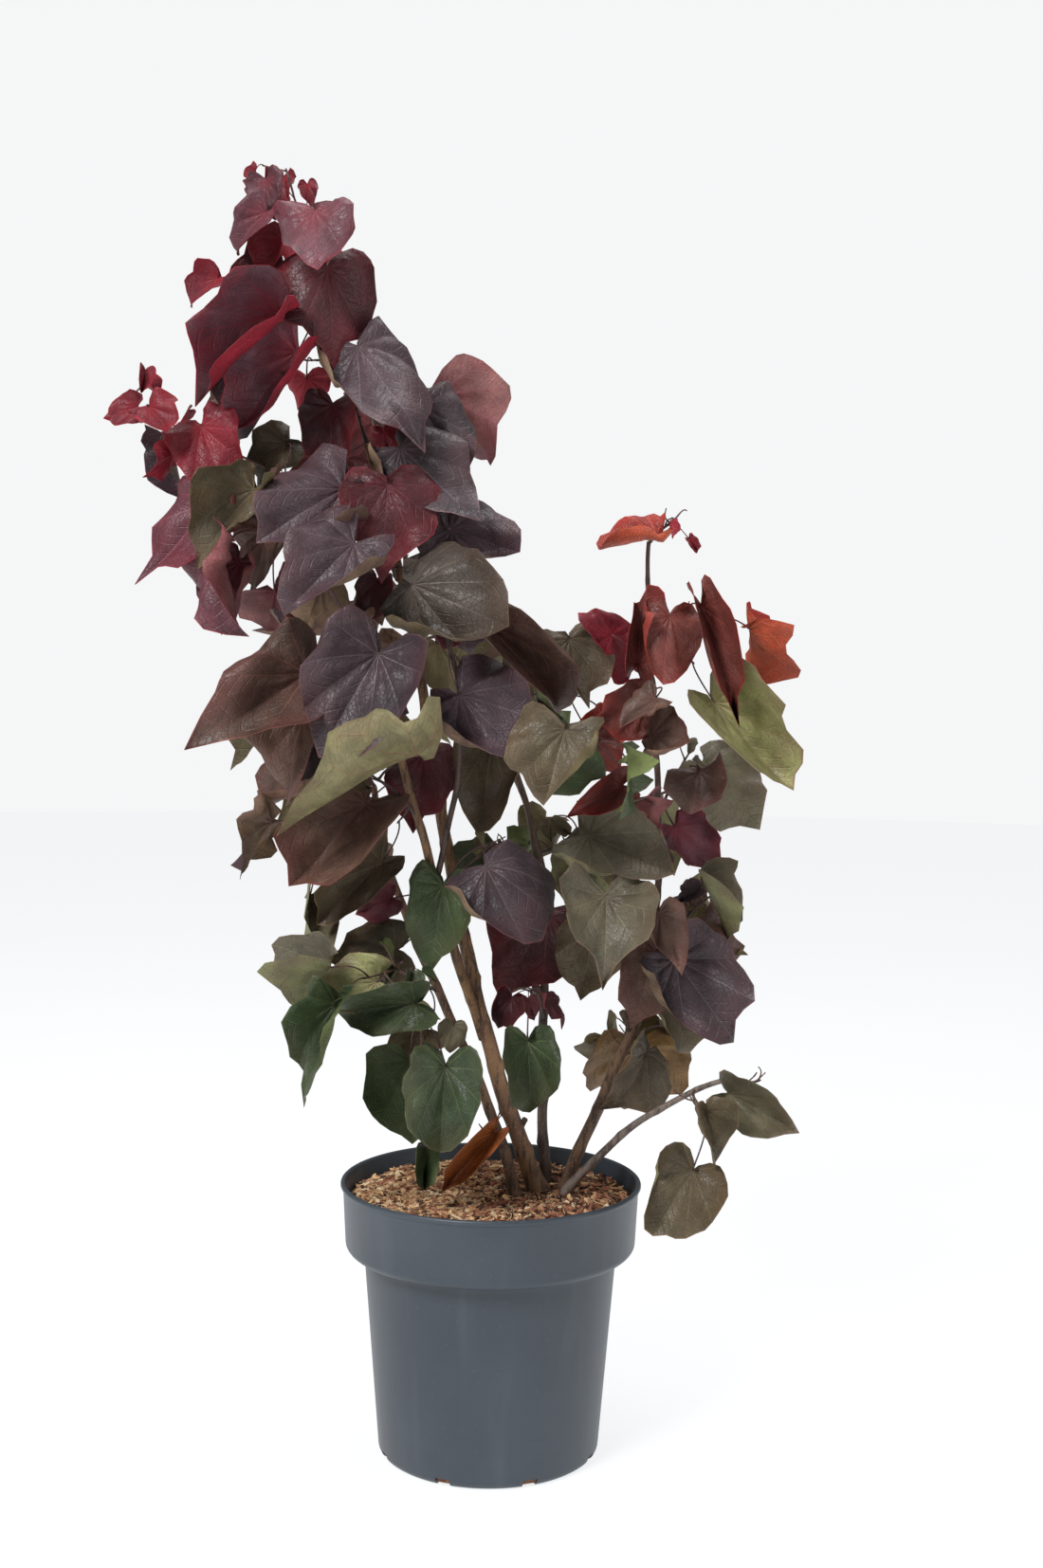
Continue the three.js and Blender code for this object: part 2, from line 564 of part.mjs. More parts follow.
function makeLimb(plan) {
  const curve = new Course(plan.course);
  const [thick, thin] = plan.radius;
  const flare = plan.flare ?? 0;
  const footHeight = curve.getPoint(0).z;
  const radiusAt = (t) => {
    const rise = curve.getPoint(t).z - footHeight;
    return THREE.MathUtils.lerp(thick, thin, t) + flare * Math.exp(-rise / FLARE_REACH);
  };
  return {
    curve,
    solid: rod(curve, radiusAt, LIMB_SIDES, LIMB_STEPS),
    grown: rod(curve, radiusAt, LIMB_SIDES, LIMB_STEPS, GAP),
  };
}

function makeLimbs() {
  const limbs = {};
  for (const [name, plan] of Object.entries(LIMBS)) {
    const limb = makeLimb(plan);
    limb.solid = plan.from
      ? limb.solid.subtract(limbs[plan.from].grown)
      : limb.solid.subtract(groundSlab);
    limbs[name] = limb;
  }
  return limbs;
}

// ---- Blades -------------------------------------------------------------------------------
function heartReach(angle) {
  const off = Math.abs(angle);
  const next = Math.max(1, HEART.findIndex(([limit]) => off <= limit));
  const [angleA, reachA] = HEART[next - 1];
  const [angleB, reachB] = HEART[next];
  return THREE.MathUtils.lerp(reachA, reachB, (off - angleA) / (angleB - angleA));
}

function bladeFrame(leaf) {
  const [hang, turn, lean] = [leaf.hang * DEG, leaf.turn * DEG, leaf.lean * DEG];
  const outward = new THREE.Vector3(Math.sin(turn), -Math.cos(turn), 0);
  const right = new THREE.Vector3(Math.cos(turn), Math.sin(turn), 0);
  const drop = right.multiplyScalar(Math.sin(hang)).add(new THREE.Vector3(0, 0, -Math.cos(hang)));
  const tip = drop.clone().multiplyScalar(Math.cos(lean)).addScaledVector(outward, Math.sin(lean));
  const face = outward.multiplyScalar(Math.cos(lean)).addScaledVector(drop, -Math.sin(lean));
  const across = new THREE.Vector3().crossVectors(face, tip);
  return { tip, face, across };
}

// The integral of a bend that starts at slope `from` and turns by `rate` over each unit.
function bend(from, rate, length) {
  if (Math.abs(rate) < STRAIGHT) {
    return [length * Math.cos(from), length * Math.sin(from)];
  }
  const end = from + rate * length;
  return [(Math.sin(end) - Math.sin(from)) / rate, (Math.cos(from) - Math.cos(end)) / rate];
}

// A point of the blade at an angle off the tip, at a share of the way to the margin.
function bladePoint(leaf, angle, share) {
  const reach = share * heartReach(angle);
  const side = reach * Math.sin(angle * DEG);
  const ahead = reach * Math.cos(angle * DEG);
  const [wide, high] = bend(leaf.fold * DEG, leaf.roll, Math.abs(side));
  const [far, back] = bend(0, leaf.curl, ahead);
  const lift = leaf.curl * ahead;
  const { tip, face, across } = leaf.frame;
  return leaf.at.clone()
    .addScaledVector(tip, leaf.length * (far + high * Math.sin(lift)))
    .addScaledVector(face, leaf.length * (high * Math.cos(lift) - back))
    .addScaledVector(across, leaf.length * Math.sign(side) * wide);
}

// The blade and its stalk in one closed skin. path runs from near the blade to inside the twig,
// as points with the stalk's half-width there.
function leafSolid(leaf, path) {
  const { tip: ahead, across } = leaf.frame;
  const stalkSide = [1, -1].map((hand) => leaf.at.clone().addScaledVector(across, hand * PETIOLE_RADIUS));
  const points = [...stalkSide, bladePoint(leaf, 0, RIB_MIDDLE), bladePoint(leaf, 0, 1)];
  const [right, left, rib, tip] = [0, 1, 2, 3];
  const sides = [1, -1].map((hand) => HEART_CORNERS.map((angle) => {
    points.push(bladePoint(leaf, hand * angle, 1));
    return points.length - 1;
  }));
  const faces = [[right, rib, left]];
  [right, left].forEach((stalk, side) => {
    const [shoulder, widest, lobe] = sides[side];
    const half = [
      [stalk, lobe, widest],
      [stalk, widest, rib],
      [rib, widest, shoulder],
      [rib, shoulder, tip],
    ];
    half.forEach(([a, b, c]) => faces.push(side ? [a, c, b] : [a, b, c]));
  });
  const normals = points.map(() => new THREE.Vector3());
  for (const [a, b, c] of faces) {
    const normal = points[b].clone().sub(points[a]).cross(points[c].clone().sub(points[a])).normalize();
    [a, b, c].forEach((corner) => normals[corner].add(normal));
  }
  const half = Math.max(LEAST_THICKNESS, leaf.length * BLADE_THICKNESS) / 2;
  const count = points.length;
  const upper = points.map((p, i) => p.clone().addScaledVector(normals[i].normalize(), half));
  const lower = points.map((p, i) => p.clone().addScaledVector(normals[i], -half));
  const corners = [...upper, ...lower];
  const index = faces.flatMap(([a, b, c]) => [a, b, c, count + a, count + c, count + b]);
  const margin = [left, ...[...sides[1]].reverse(), tip, ...sides[0], right];
  for (let i = 1; i < margin.length; i += 1) {
    const [a, b] = [margin[i - 1], margin[i]];
    index.push(a, b, count + b, a, count + b, count + a);
  }
  let ring = [right, left, count + left, count + right];
  let from = leaf.at;
  for (const { point, half: wide } of path) {
    const way = point.clone().sub(from).normalize();
    const flat = across.clone().addScaledVector(way, -across.dot(way)).normalize();
    const up = new THREE.Vector3().crossVectors(way, flat);
    const next = [[1, 1], [-1, 1], [-1, -1], [1, -1]].map(([a, b]) => {
      corners.push(point.clone().addScaledVector(flat, a * wide).addScaledVector(up, b * wide));
      return corners.length - 1;
    });
    ring.forEach((a, i) => {
      const k = (i + 1) % ring.length;
      index.push(a, ring[k], next[k], a, next[k], next[i]);
    });
    ring = next;
    from = point;
  }
  index.push(ring[0], ring[1], ring[2], ring[0], ring[2], ring[3]);
  const geometry = new THREE.BufferGeometry();
  const flatCorners = corners.flatMap((p) => p.toArray());
  geometry.setAttribute('position', new THREE.Float32BufferAttribute(flatCorners, 3));
  geometry.setIndex(index);
  return toSolid(geometry);
}

// ---- Growth -------------------------------------------------------------------------------
function twigSolid(curve) {
  return rod(curve, (t) => THREE.MathUtils.lerp(...TWIG_RADIUS, t), TWIG_SIDES, TWIG_STEPS);
}

// The nodes of a mass's twigs, nearest to the target first.
function nodesNear(twigs, target) {
  const nodes = [];
  for (const twig of twigs) {
    const bare = Math.min(BARE_MOST, BARE_FOOT / twig.length);
    for (let t = bare; t <= LAST_NODE; t += NODE_STEP) {
      const point = twig.curve.getPoint(t);
      nodes.push({ point, distance: point.distanceTo(target) });
    }
  }
  return nodes.sort((a, b) => a.distance - b.distance);
}

// The stalk of a blade: its petiole, and a sprig as well where it hangs far off its twig.
function stalkOf(leaf, node) {
  let foot = node.point;
  let sprig = null;
  if (node.distance > LONGEST_PETIOLE) {
    const end = leaf.at.clone().lerp(foot, PETIOLE_LENGTH / node.distance);
    end.z += SPRIG_LIFT * node.distance;
    sprig = makeTwig(new THREE.LineCurve3(foot, end));
    foot = end;
  }
  const reach = foot.distanceTo(leaf.at);
  const [along, back] = PETIOLE_BEND;
  const middle = leaf.at.clone().lerp(foot, along).addScaledVector(leaf.frame.tip, -back * reach);
  const path = [
    { point: middle, half: PETIOLE_RADIUS },
    { point: foot, half: sprig ? SPRIG_RADIUS : PETIOLE_RADIUS },
  ];
  if (sprig) path.push({ point: node.point, half: SPRIG_RADIUS });
  return { sprig, path };
}

function boxesMeet(a, b, room) {
  return [0, 1, 2].every((k) => a.min[k] - room <= b.max[k] && b.min[k] - room <= a.max[k]);
}

function clears(solid, others, room) {
  const box = solid.boundingBox();
  const near = others.filter((other) => boxesMeet(box, other.boundingBox(), room));
  return near.every((other) => solid.minGap(other, 2 * room) >= room);
}

// Hangs a blade on its mass where it stays clear of every other blade, twig and limb.
function hangLeaf(plant, mass, leaf) {
  leaf.frame = bladeFrame(leaf);
  const strangers = plant.masses.filter((other) => other !== mass).flatMap((other) => other.pieces);
  const obstacles = [...strangers, ...plant.limbs];
  const blade = leafSolid(leaf, []);
  if (!clears(blade, [...mass.pieces, ...obstacles], BLADE_CLEAR)) return false;
  for (const node of nodesNear(mass.twigs, leaf.at).slice(0, NODE_TRIES)) {
    const { sprig, path } = stalkOf(leaf, node);
    const whole = leafSolid(leaf, path);
    if (clears(whole, mass.blades, BLADE_CLEAR) && clears(whole, obstacles, BLADE_CLEAR)) {
      mass.pieces.push(whole);
      mass.blades.push(blade);
      if (sprig) mass.twigs.push(sprig);
      return true;
    }
  }
  return false;
}

function showLeaf([x, y, z, length, hang, turn, lean, fold, roll, curl, tint], shift) {
  return { at: new THREE.Vector3(x, y + shift, z), length, hang, turn, lean, fold, roll, curl, tint };
}

// A further blade: it springs from a node of the mass's twigs, and turns by the golden angle.
function seededLeaf(plan, mass, dice, count) {
  const twig = mass.twigs[Math.floor(dice.roll(0, mass.twigs.length))];
  const at = twig.curve.getPoint(dice.roll(...ALONG_TWIG));
  const round = plan.facing + ((count * GOLDEN_ANGLE) % 360 - 180) * ROUND_SHARE;
  const reach = plan.spread * dice.roll(...REACH);
  at.x += Math.sin(round * DEG) * reach;
  at.y -= Math.cos(round * DEG) * reach;
  at.z += dice.roll(...RISE) * reach;
  return {
    at,
    length: plan.size * dice.roll(...LENGTH),
    hang: dice.roll(...HANG),
    turn: round + dice.roll(...TWIST),
    lean: dice.roll(...LEAN),
    fold: dice.roll(...FOLD),
    roll: dice.roll(...ROLL),
    curl: dice.roll(...CURL),
    tint: plan.tints[Math.floor(dice.roll(0, plan.tints.length))],
  };
}

function makeTwig(curve) {
  return { curve, length: curve.getLength() };
}

function growMasses(limbs) {
  const plant = { limbs: Object.values(limbs).map((limb) => limb.solid), masses: [] };
  for (const [name, plan] of Object.entries(MASSES)) {
    const [limbName, share] = plan.from;
    const limb = limbs[limbName];
    const stem = new Bow(limb.curve.getPoint(share), ...plan.way.map(vec));
    const pieces = [twigSolid(stem).subtract(limb.grown)];
    plant.masses.push({ name, plan, twigs: [makeTwig(stem)], pieces, blades: [] });
  }
  for (const mass of plant.masses) {
    for (const row of mass.plan.show) {
      SHIFTS.some((shift) => hangLeaf(plant, mass, showLeaf(row, shift)));
    }
  }
  for (const mass of plant.masses) {
    const dice = new Dice(mass.plan.seed);
    for (let count = 0; count < mass.plan.more; count += 1) {
      let hung = false;
      for (let attempt = 0; attempt < TRIES && !hung; attempt += 1) {
        hung = hangLeaf(plant, mass, seededLeaf(mass.plan, mass, dice, count));
      }
    }
  }
  return plant.masses;
}

// ---- The object ---------------------------------------------------------------------------
const group = new THREE.Group();

function addNode(name, solid, colour, roughness) {
  const material = new THREE.MeshStandardMaterial({ color: colour, roughness, metalness: 0 });
  const mesh = new THREE.Mesh(toGeometry(solid), material);
  mesh.name = name;
  group.add(mesh);
}

addNode('pot', makePot(), 0x646c73, 0.5);
addNode('root_ball', makeRootBall(), 0x7a5636, 0.95);
const limbs = makeLimbs();
for (const [name, limb] of Object.entries(limbs)) {
  addNode(name, limb.solid, LIMBS[name].colour, 0.85);
}
for (const mass of growMasses(limbs)) {
  const solid = mass.pieces.reduce((sum, piece) => sum.add(piece));
  addNode(mass.name, solid, TINTS[mass.plan.tints[0]], 0.6);
}

export default group;
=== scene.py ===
# %% [markdown]
# # A young redbud in a nursery pot
# The real plant has several thin stems that stand in bark mulch, a few boughs, and heart-shaped
# leaves on long stalks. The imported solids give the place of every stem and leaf. This lesson
# dresses them: it grows the same plant by the same seeded rule, with finer shapes and finishes.

import math

import bmesh
import bpy
import numpy as np
from mathutils import Matrix, Vector, noise
from mathutils.kdtree import KDTree


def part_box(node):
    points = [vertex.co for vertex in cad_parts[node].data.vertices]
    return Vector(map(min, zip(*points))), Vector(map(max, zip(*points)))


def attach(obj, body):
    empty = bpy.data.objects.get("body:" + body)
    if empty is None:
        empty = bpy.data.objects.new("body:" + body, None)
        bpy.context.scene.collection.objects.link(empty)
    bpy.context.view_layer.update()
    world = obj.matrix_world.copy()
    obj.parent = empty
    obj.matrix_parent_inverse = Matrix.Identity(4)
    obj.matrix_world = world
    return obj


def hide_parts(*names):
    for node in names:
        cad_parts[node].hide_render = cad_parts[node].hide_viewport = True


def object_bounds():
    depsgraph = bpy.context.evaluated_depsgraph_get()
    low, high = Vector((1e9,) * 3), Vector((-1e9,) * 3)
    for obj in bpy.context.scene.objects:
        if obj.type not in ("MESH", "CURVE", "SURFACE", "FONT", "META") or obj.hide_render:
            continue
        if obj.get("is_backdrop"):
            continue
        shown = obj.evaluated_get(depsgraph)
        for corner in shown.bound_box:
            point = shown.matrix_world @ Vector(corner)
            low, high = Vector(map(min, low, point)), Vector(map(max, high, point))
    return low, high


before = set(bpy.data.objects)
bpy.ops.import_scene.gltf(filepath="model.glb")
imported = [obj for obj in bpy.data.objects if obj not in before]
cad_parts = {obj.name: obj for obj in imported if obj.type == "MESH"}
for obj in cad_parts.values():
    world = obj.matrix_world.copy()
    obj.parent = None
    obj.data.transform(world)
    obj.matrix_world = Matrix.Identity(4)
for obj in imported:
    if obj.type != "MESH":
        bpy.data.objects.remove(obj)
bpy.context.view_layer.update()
MM = 0.001

# %% [markdown]
# ## Camera
# A plant of this height is seen well from about two metres, level with the middle of its crown
# and tilted slightly down. The lens is given for the long side of the sensor. The camera's place
# is written as a matrix, because a tilt and a roll are easier to read as two plain turns.

# %% Camera
SENSOR = 36.0  # millimetres, as the lens is
LENS = 43.53
CAMERA_PLACE = (0.0263, -1.906, 0.789)
CAMERA_PITCH = 86.73  # degrees up from a camera that looks straight down
CAMERA_ROLL = 0.68
scene = bpy.context.scene
camera = bpy.data.objects.new("camera", bpy.data.cameras.new("camera"))
scene.collection.objects.link(camera)
scene.camera = camera
camera.data.sensor_width = SENSOR
camera.data.lens = LENS
pitch = Matrix.Rotation(math.radians(CAMERA_PITCH), 4, "X")
roll = Matrix.Rotation(math.radians(CAMERA_ROLL), 4, "Z")
camera.matrix_world = Matrix.Translation(CAMERA_PLACE) @ (pitch @ roll)
print("camera at", [round(v, 3) for v in camera.location])

# %% [markdown]
# ## Floor and light
# The set is a pale sweep under large soft lamps, so shadows are faint and the leaves carry a
# broad sheen. The world's own light stands for the white walls of the studio. A Light Path node
# gives it two strengths: bright where the camera sees the wall, and dim where it lights the plant.

# %% Floor and light
WALL_BRIGHTNESS = 1.02  # of the bare walls behind the plant
WALL_LIGHT = 0.27  # that the walls give the plant
WALL_COLOUR = (0.90, 0.905, 0.91, 1)
LAMPS = {
    # place, what it aims at and size, in metres, and watts
    "key": ((-1.5, -2.1, 2.7), (0, 0, 0.6), 1.3, 92),
    "fill": ((2.4, -1.5, 1.3), (0, 0, 0.6), 1.6, 11),
    "top": ((0.3, 0.4, 3.1), (0, 0, 0.5), 1.8, 34),
}
scene.view_settings.view_transform = "Standard"
world = bpy.data.worlds.new("studio")
scene.world = world
world.use_nodes = True
sky = world.node_tree
backdrop = sky.nodes["Background"]
backdrop.inputs["Color"].default_value = WALL_COLOUR
seen = sky.nodes.new("ShaderNodeLightPath").outputs["Is Camera Ray"]
level = sky.nodes.new("ShaderNodeMapRange")
sky.links.new(seen, level.inputs["Value"])
level.inputs["To Min"].default_value = WALL_LIGHT
level.inputs["To Max"].default_value = WALL_BRIGHTNESS
sky.links.new(level.outputs["Result"], backdrop.inputs["Strength"])


def add_lamp(name, place, aim, size, power):
    """A round soft lamp that points at its aim."""
    light = bpy.data.lights.new(name, "AREA")
    light.shape = "DISK"
    light.size = size
    light.energy = power
    holder = bpy.data.objects.new(name, light)
    scene.collection.objects.link(holder)
    facing = (Vector(aim) - Vector(place)).to_track_quat("-Z", "Y").to_matrix().to_4x4()
    holder.matrix_world = Matrix.Translation(place) @ facing


for name, plan in LAMPS.items():
    add_lamp(name, *plan)
print("lamps", len(LAMPS))

# %% [markdown]
# ## Finishes
# A finish is a node tree. To keep the maths readable, a socket is wrapped in a small class, so
# that `1 - mask * 0.5` adds the Math nodes by itself. Every other node comes from one method.

# %% Socket wrapper


class Value:
    """A number that varies over a surface: the output of a node."""

    def __init__(self, finish, socket):
        self.finish = finish
        self.socket = socket

    def maths(self, operation, *others):
        return self.finish.node("ShaderNodeMath", {"operation": operation}, self, *others)

    def __add__(self, other):
        return self.maths("ADD", other)

    def __mul__(self, other):
        return self.maths("MULTIPLY", other)

    def __sub__(self, other):
        return self.maths("SUBTRACT", other)

    def __rsub__(self, other):
        return self.finish.node("ShaderNodeMath", {"operation": "SUBTRACT"}, other, self)

    __radd__ = __add__
    __rmul__ = __mul__

    def step(self, low, high):
        """0 below low, 1 above high and smooth between them."""
        settings = {"interpolation_type": "SMOOTHSTEP"}
        return self.finish.node("ShaderNodeMapRange", settings, self, low, high)


OBJECT_OUTPUT = 3  # of a Texture Coordinate node
SHARE_OUTPUT = 2  # of an Attribute node, which gives a single number
MIX_SHARE, MIX_FIRST, MIX_SECOND, MIX_RESULT = 0, 6, 7, 2  # a Mix node's sockets for colours


class Finish:
    """A material: its Principled shader, and the nodes that feed it."""

    def __init__(self, name, **constants):
        self.material = bpy.data.materials.new(name)
        self.material.use_nodes = True
        self.tree = self.material.node_tree
        self.shader = self.tree.nodes["Principled BSDF"]
        for socket, value in constants.items():
            self.feed(self.shader.inputs[socket.replace("_", " ")], value)

    def feed(self, socket, value):
        if isinstance(value, Value):
            self.tree.links.new(value.socket, socket)
        else:
            socket.default_value = value

    def node(self, kind, settings=None, *values, output=0, **named):
        made = self.tree.nodes.new(kind)
        for key, value in (settings or {}).items():
            setattr(made, key, value)
        for place, value in enumerate(values):
            self.feed(made.inputs[place], value)
        for key, value in named.items():
            self.feed(made.inputs[key.replace("_", " ")], value)
        return Value(self, made.outputs[output])

    def place(self, scale=(1, 1, 1)):
        """Object coordinates, stretched by a Mapping node."""
        where = self.node("ShaderNodeTexCoord", output=OBJECT_OUTPUT)
        return self.node("ShaderNodeMapping", {}, where, Scale=scale)

    def noise(self, where, scale, detail=3.0):
        return self.node("ShaderNodeTexNoise", {}, Vector=where, Scale=scale, Detail=detail)

    def cells(self, where, scale):
        return self.node("ShaderNodeTexVoronoi", {}, Vector=where, Scale=scale)

    def mix(self, share, first, second):
        """From the first colour to the second as share goes from 0 to 1."""
        made = self.tree.nodes.new("ShaderNodeMix")
        made.data_type = "RGBA"
        for place, value in ((MIX_SHARE, share), (MIX_FIRST, first), (MIX_SECOND, second)):
            self.feed(made.inputs[place], value)
        return Value(self, made.outputs[MIX_RESULT])

    def wear(self, colour, rough=None, height=None, depth=0.001, strength=0.5):
        """Feeds what varies to the shader, height through a Bump node."""
        self.feed(self.shader.inputs["Base Color"], colour)
        if rough is not None:
            self.feed(self.shader.inputs["Roughness"], rough)
        if height is not None:
            bump = self.node("ShaderNodeBump", {}, Strength=strength, Distance=depth, Height=height)
            self.feed(self.shader.inputs["Normal"], bump)
        return self.material


def shade(code, gain=1.0):
    """A colour written as a hex code, as the linear values that a shader takes."""
    levels = [int(code[i:i + 2], 16) / 255 for i in (0, 2, 4)]
    linear = [v / 12.92 if v <= 0.04045 else ((v + 0.055) / 1.055) ** 2.4 for v in levels]
    return (*[v * gain for v in linear], 1.0)


# %% Pieces and the body they ride on


def add_piece(name, mesh, materials, replaced=()):
    """Puts a mesh in the scene as a piece that rides on the plant's one body."""
    piece = bpy.data.objects.new(name, mesh)
    scene.collection.objects.link(piece)
    for material in materials:
        mesh.materials.append(material)
    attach(piece, "root")
    if replaced:
        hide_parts(*replaced)


def finish_mesh(form, name, smooth=True):
    """A bmesh made into a mesh, in metres."""
    mesh = bpy.data.meshes.new(name)
    form.to_mesh(mesh)
    form.free()
    mesh.shade_smooth() if smooth else mesh.shade_flat()
    return mesh


# %% The floor
FLOOR_RADIUS = 9.0
FLOOR_GLOW = 0.89  # makes the far floor as bright as the wall, so that no edge shows
floor_form = bmesh.new()
bmesh.ops.create_circle(floor_form, cap_ends=True, radius=FLOOR_RADIUS, segments=64)
floor_mesh = finish_mesh(floor_form, "floor", smooth=False)
floor = bpy.data.objects.new("floor", floor_mesh)
scene.collection.objects.link(floor)
floor_finish = Finish("floor", Roughness=0.7, Emission_Color=(0.9, 0.91, 0.92, 1),
                      Emission_Strength=FLOOR_GLOW)
grain = floor_finish.noise(floor_finish.place(), 3.0)
floor_colour = floor_finish.mix(grain, shade("8e8f90"), shade("929394"))
floor_mesh.materials.append(floor_finish.wear(floor_colour))
floor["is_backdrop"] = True
print("floor", 2 * FLOOR_RADIUS, "metres wide")

# %% [markdown]
# ## The plan of the plant
# The tables hold the sizes that the solids were grown from, in millimetres: each limb runs
# through four points, and each mass hangs its leaves by the same rule and the same dice.

# %% Sizes that the rule uses
SOIL_TOP = 266
FLARE_REACH = 16  # height over which a stem's foot narrows to its own width
TWIG_RADIUS = 1.9
SPRIG_RADIUS = 1.4
SPRIG_LIFT = 0.1  # how far a sprig's end rises, as a share of its distance
BARE_FOOT = 14  # of a twig, which bears no leaf
BARE_MOST = 0.5  # the most of a twig that stays bare, as a share
NODE_STEP = 0.12  # from one node of a twig to the next, as a share
LAST_NODE = 0.96
NODE_TRIES = 4
PETIOLE_LENGTH = 42
LONGEST_PETIOLE = 66  # a leaf that is farther from its node hangs on a sprig
PETIOLE_BEND = (0.45, 0.2)  # where a leaf stalk bends, and how far
BLADE_THICKNESS = 0.014  # of a solid blade, as a share of its length
LEAST_THICKNESS = 1.1
TRIES = 7  # at a place for each leaf that the dice hang on
GOLDEN_ANGLE = 137.5
ROUND_SHARE = 0.62  # of a full turn that a mass spreads its leaves over
SHIFTS = (0, -14, 14, -28, 28, -42, 42)  # front to back, tried in turn for a chosen leaf

# %% Limbs
# course: four points, in order from the foot. radius: at the foot and at the tip. flare: how
# much wider the foot is where a stem leaves the mulch.
LIMBS = {
  "main_stem": {
    "course": [[50, 4, 262], [-30, 9, 520], [-74, 18, 765], [-133, 15, 1020]],
    "radius": [8.8, 3.4], "flare": 4.5,
  },
  "left_stem": {
    "course": [[25, -16, 262], [-24, 4, 400], [-88, 45, 530], [-128, 80, 671]],
    "radius": [5.6, 3.4], "flare": 2.2,
  },
  "centre_stem": {
    "course": [[56, 31, 262], [52, 42, 420], [48, 65, 560], [16, 100, 701]],
    "radius": [5.6, 3.2], "flare": 2.4,
  },
  "right_stem": {
    "course": [[75, 14, 262], [97, 12, 322], [122, 14, 380], [147, 17, 440]],
    "radius": [6.4, 5], "flare": 2.4,
  },
  "low_stem": {
    "course": [[71, -16, 262], [125, -28, 325], [182, -45, 370], [240, -55, 395]],
    "radius": [4.4, 2.4], "flare": 2,
  },
  "side_bough": {
    "course": [[-9, 7, 420], [-52, -26, 560], [-88, -42, 690], [-137, -55, 831]],
    "radius": [5.2, 3.2],
  },
  "fork_bough": {
    "course": [[-58, -30, 585], [-40, -45, 665], [-34, -58, 750], [-53, -75, 845]],
    "radius": [3.2, 2.1],
  },
  "right_bough": {
    "course": [[143, 16, 430], [168, 29, 600], [158, 28, 770], [152, 10, 925]],
    "radius": [4.2, 2.1],
  },
  "back_bough": {
    "course": [[50, 60, 530], [44, 105, 610], [10, 150, 700], [-40, 160, 800]],
    "radius": [3.6, 2.2],
  },
}

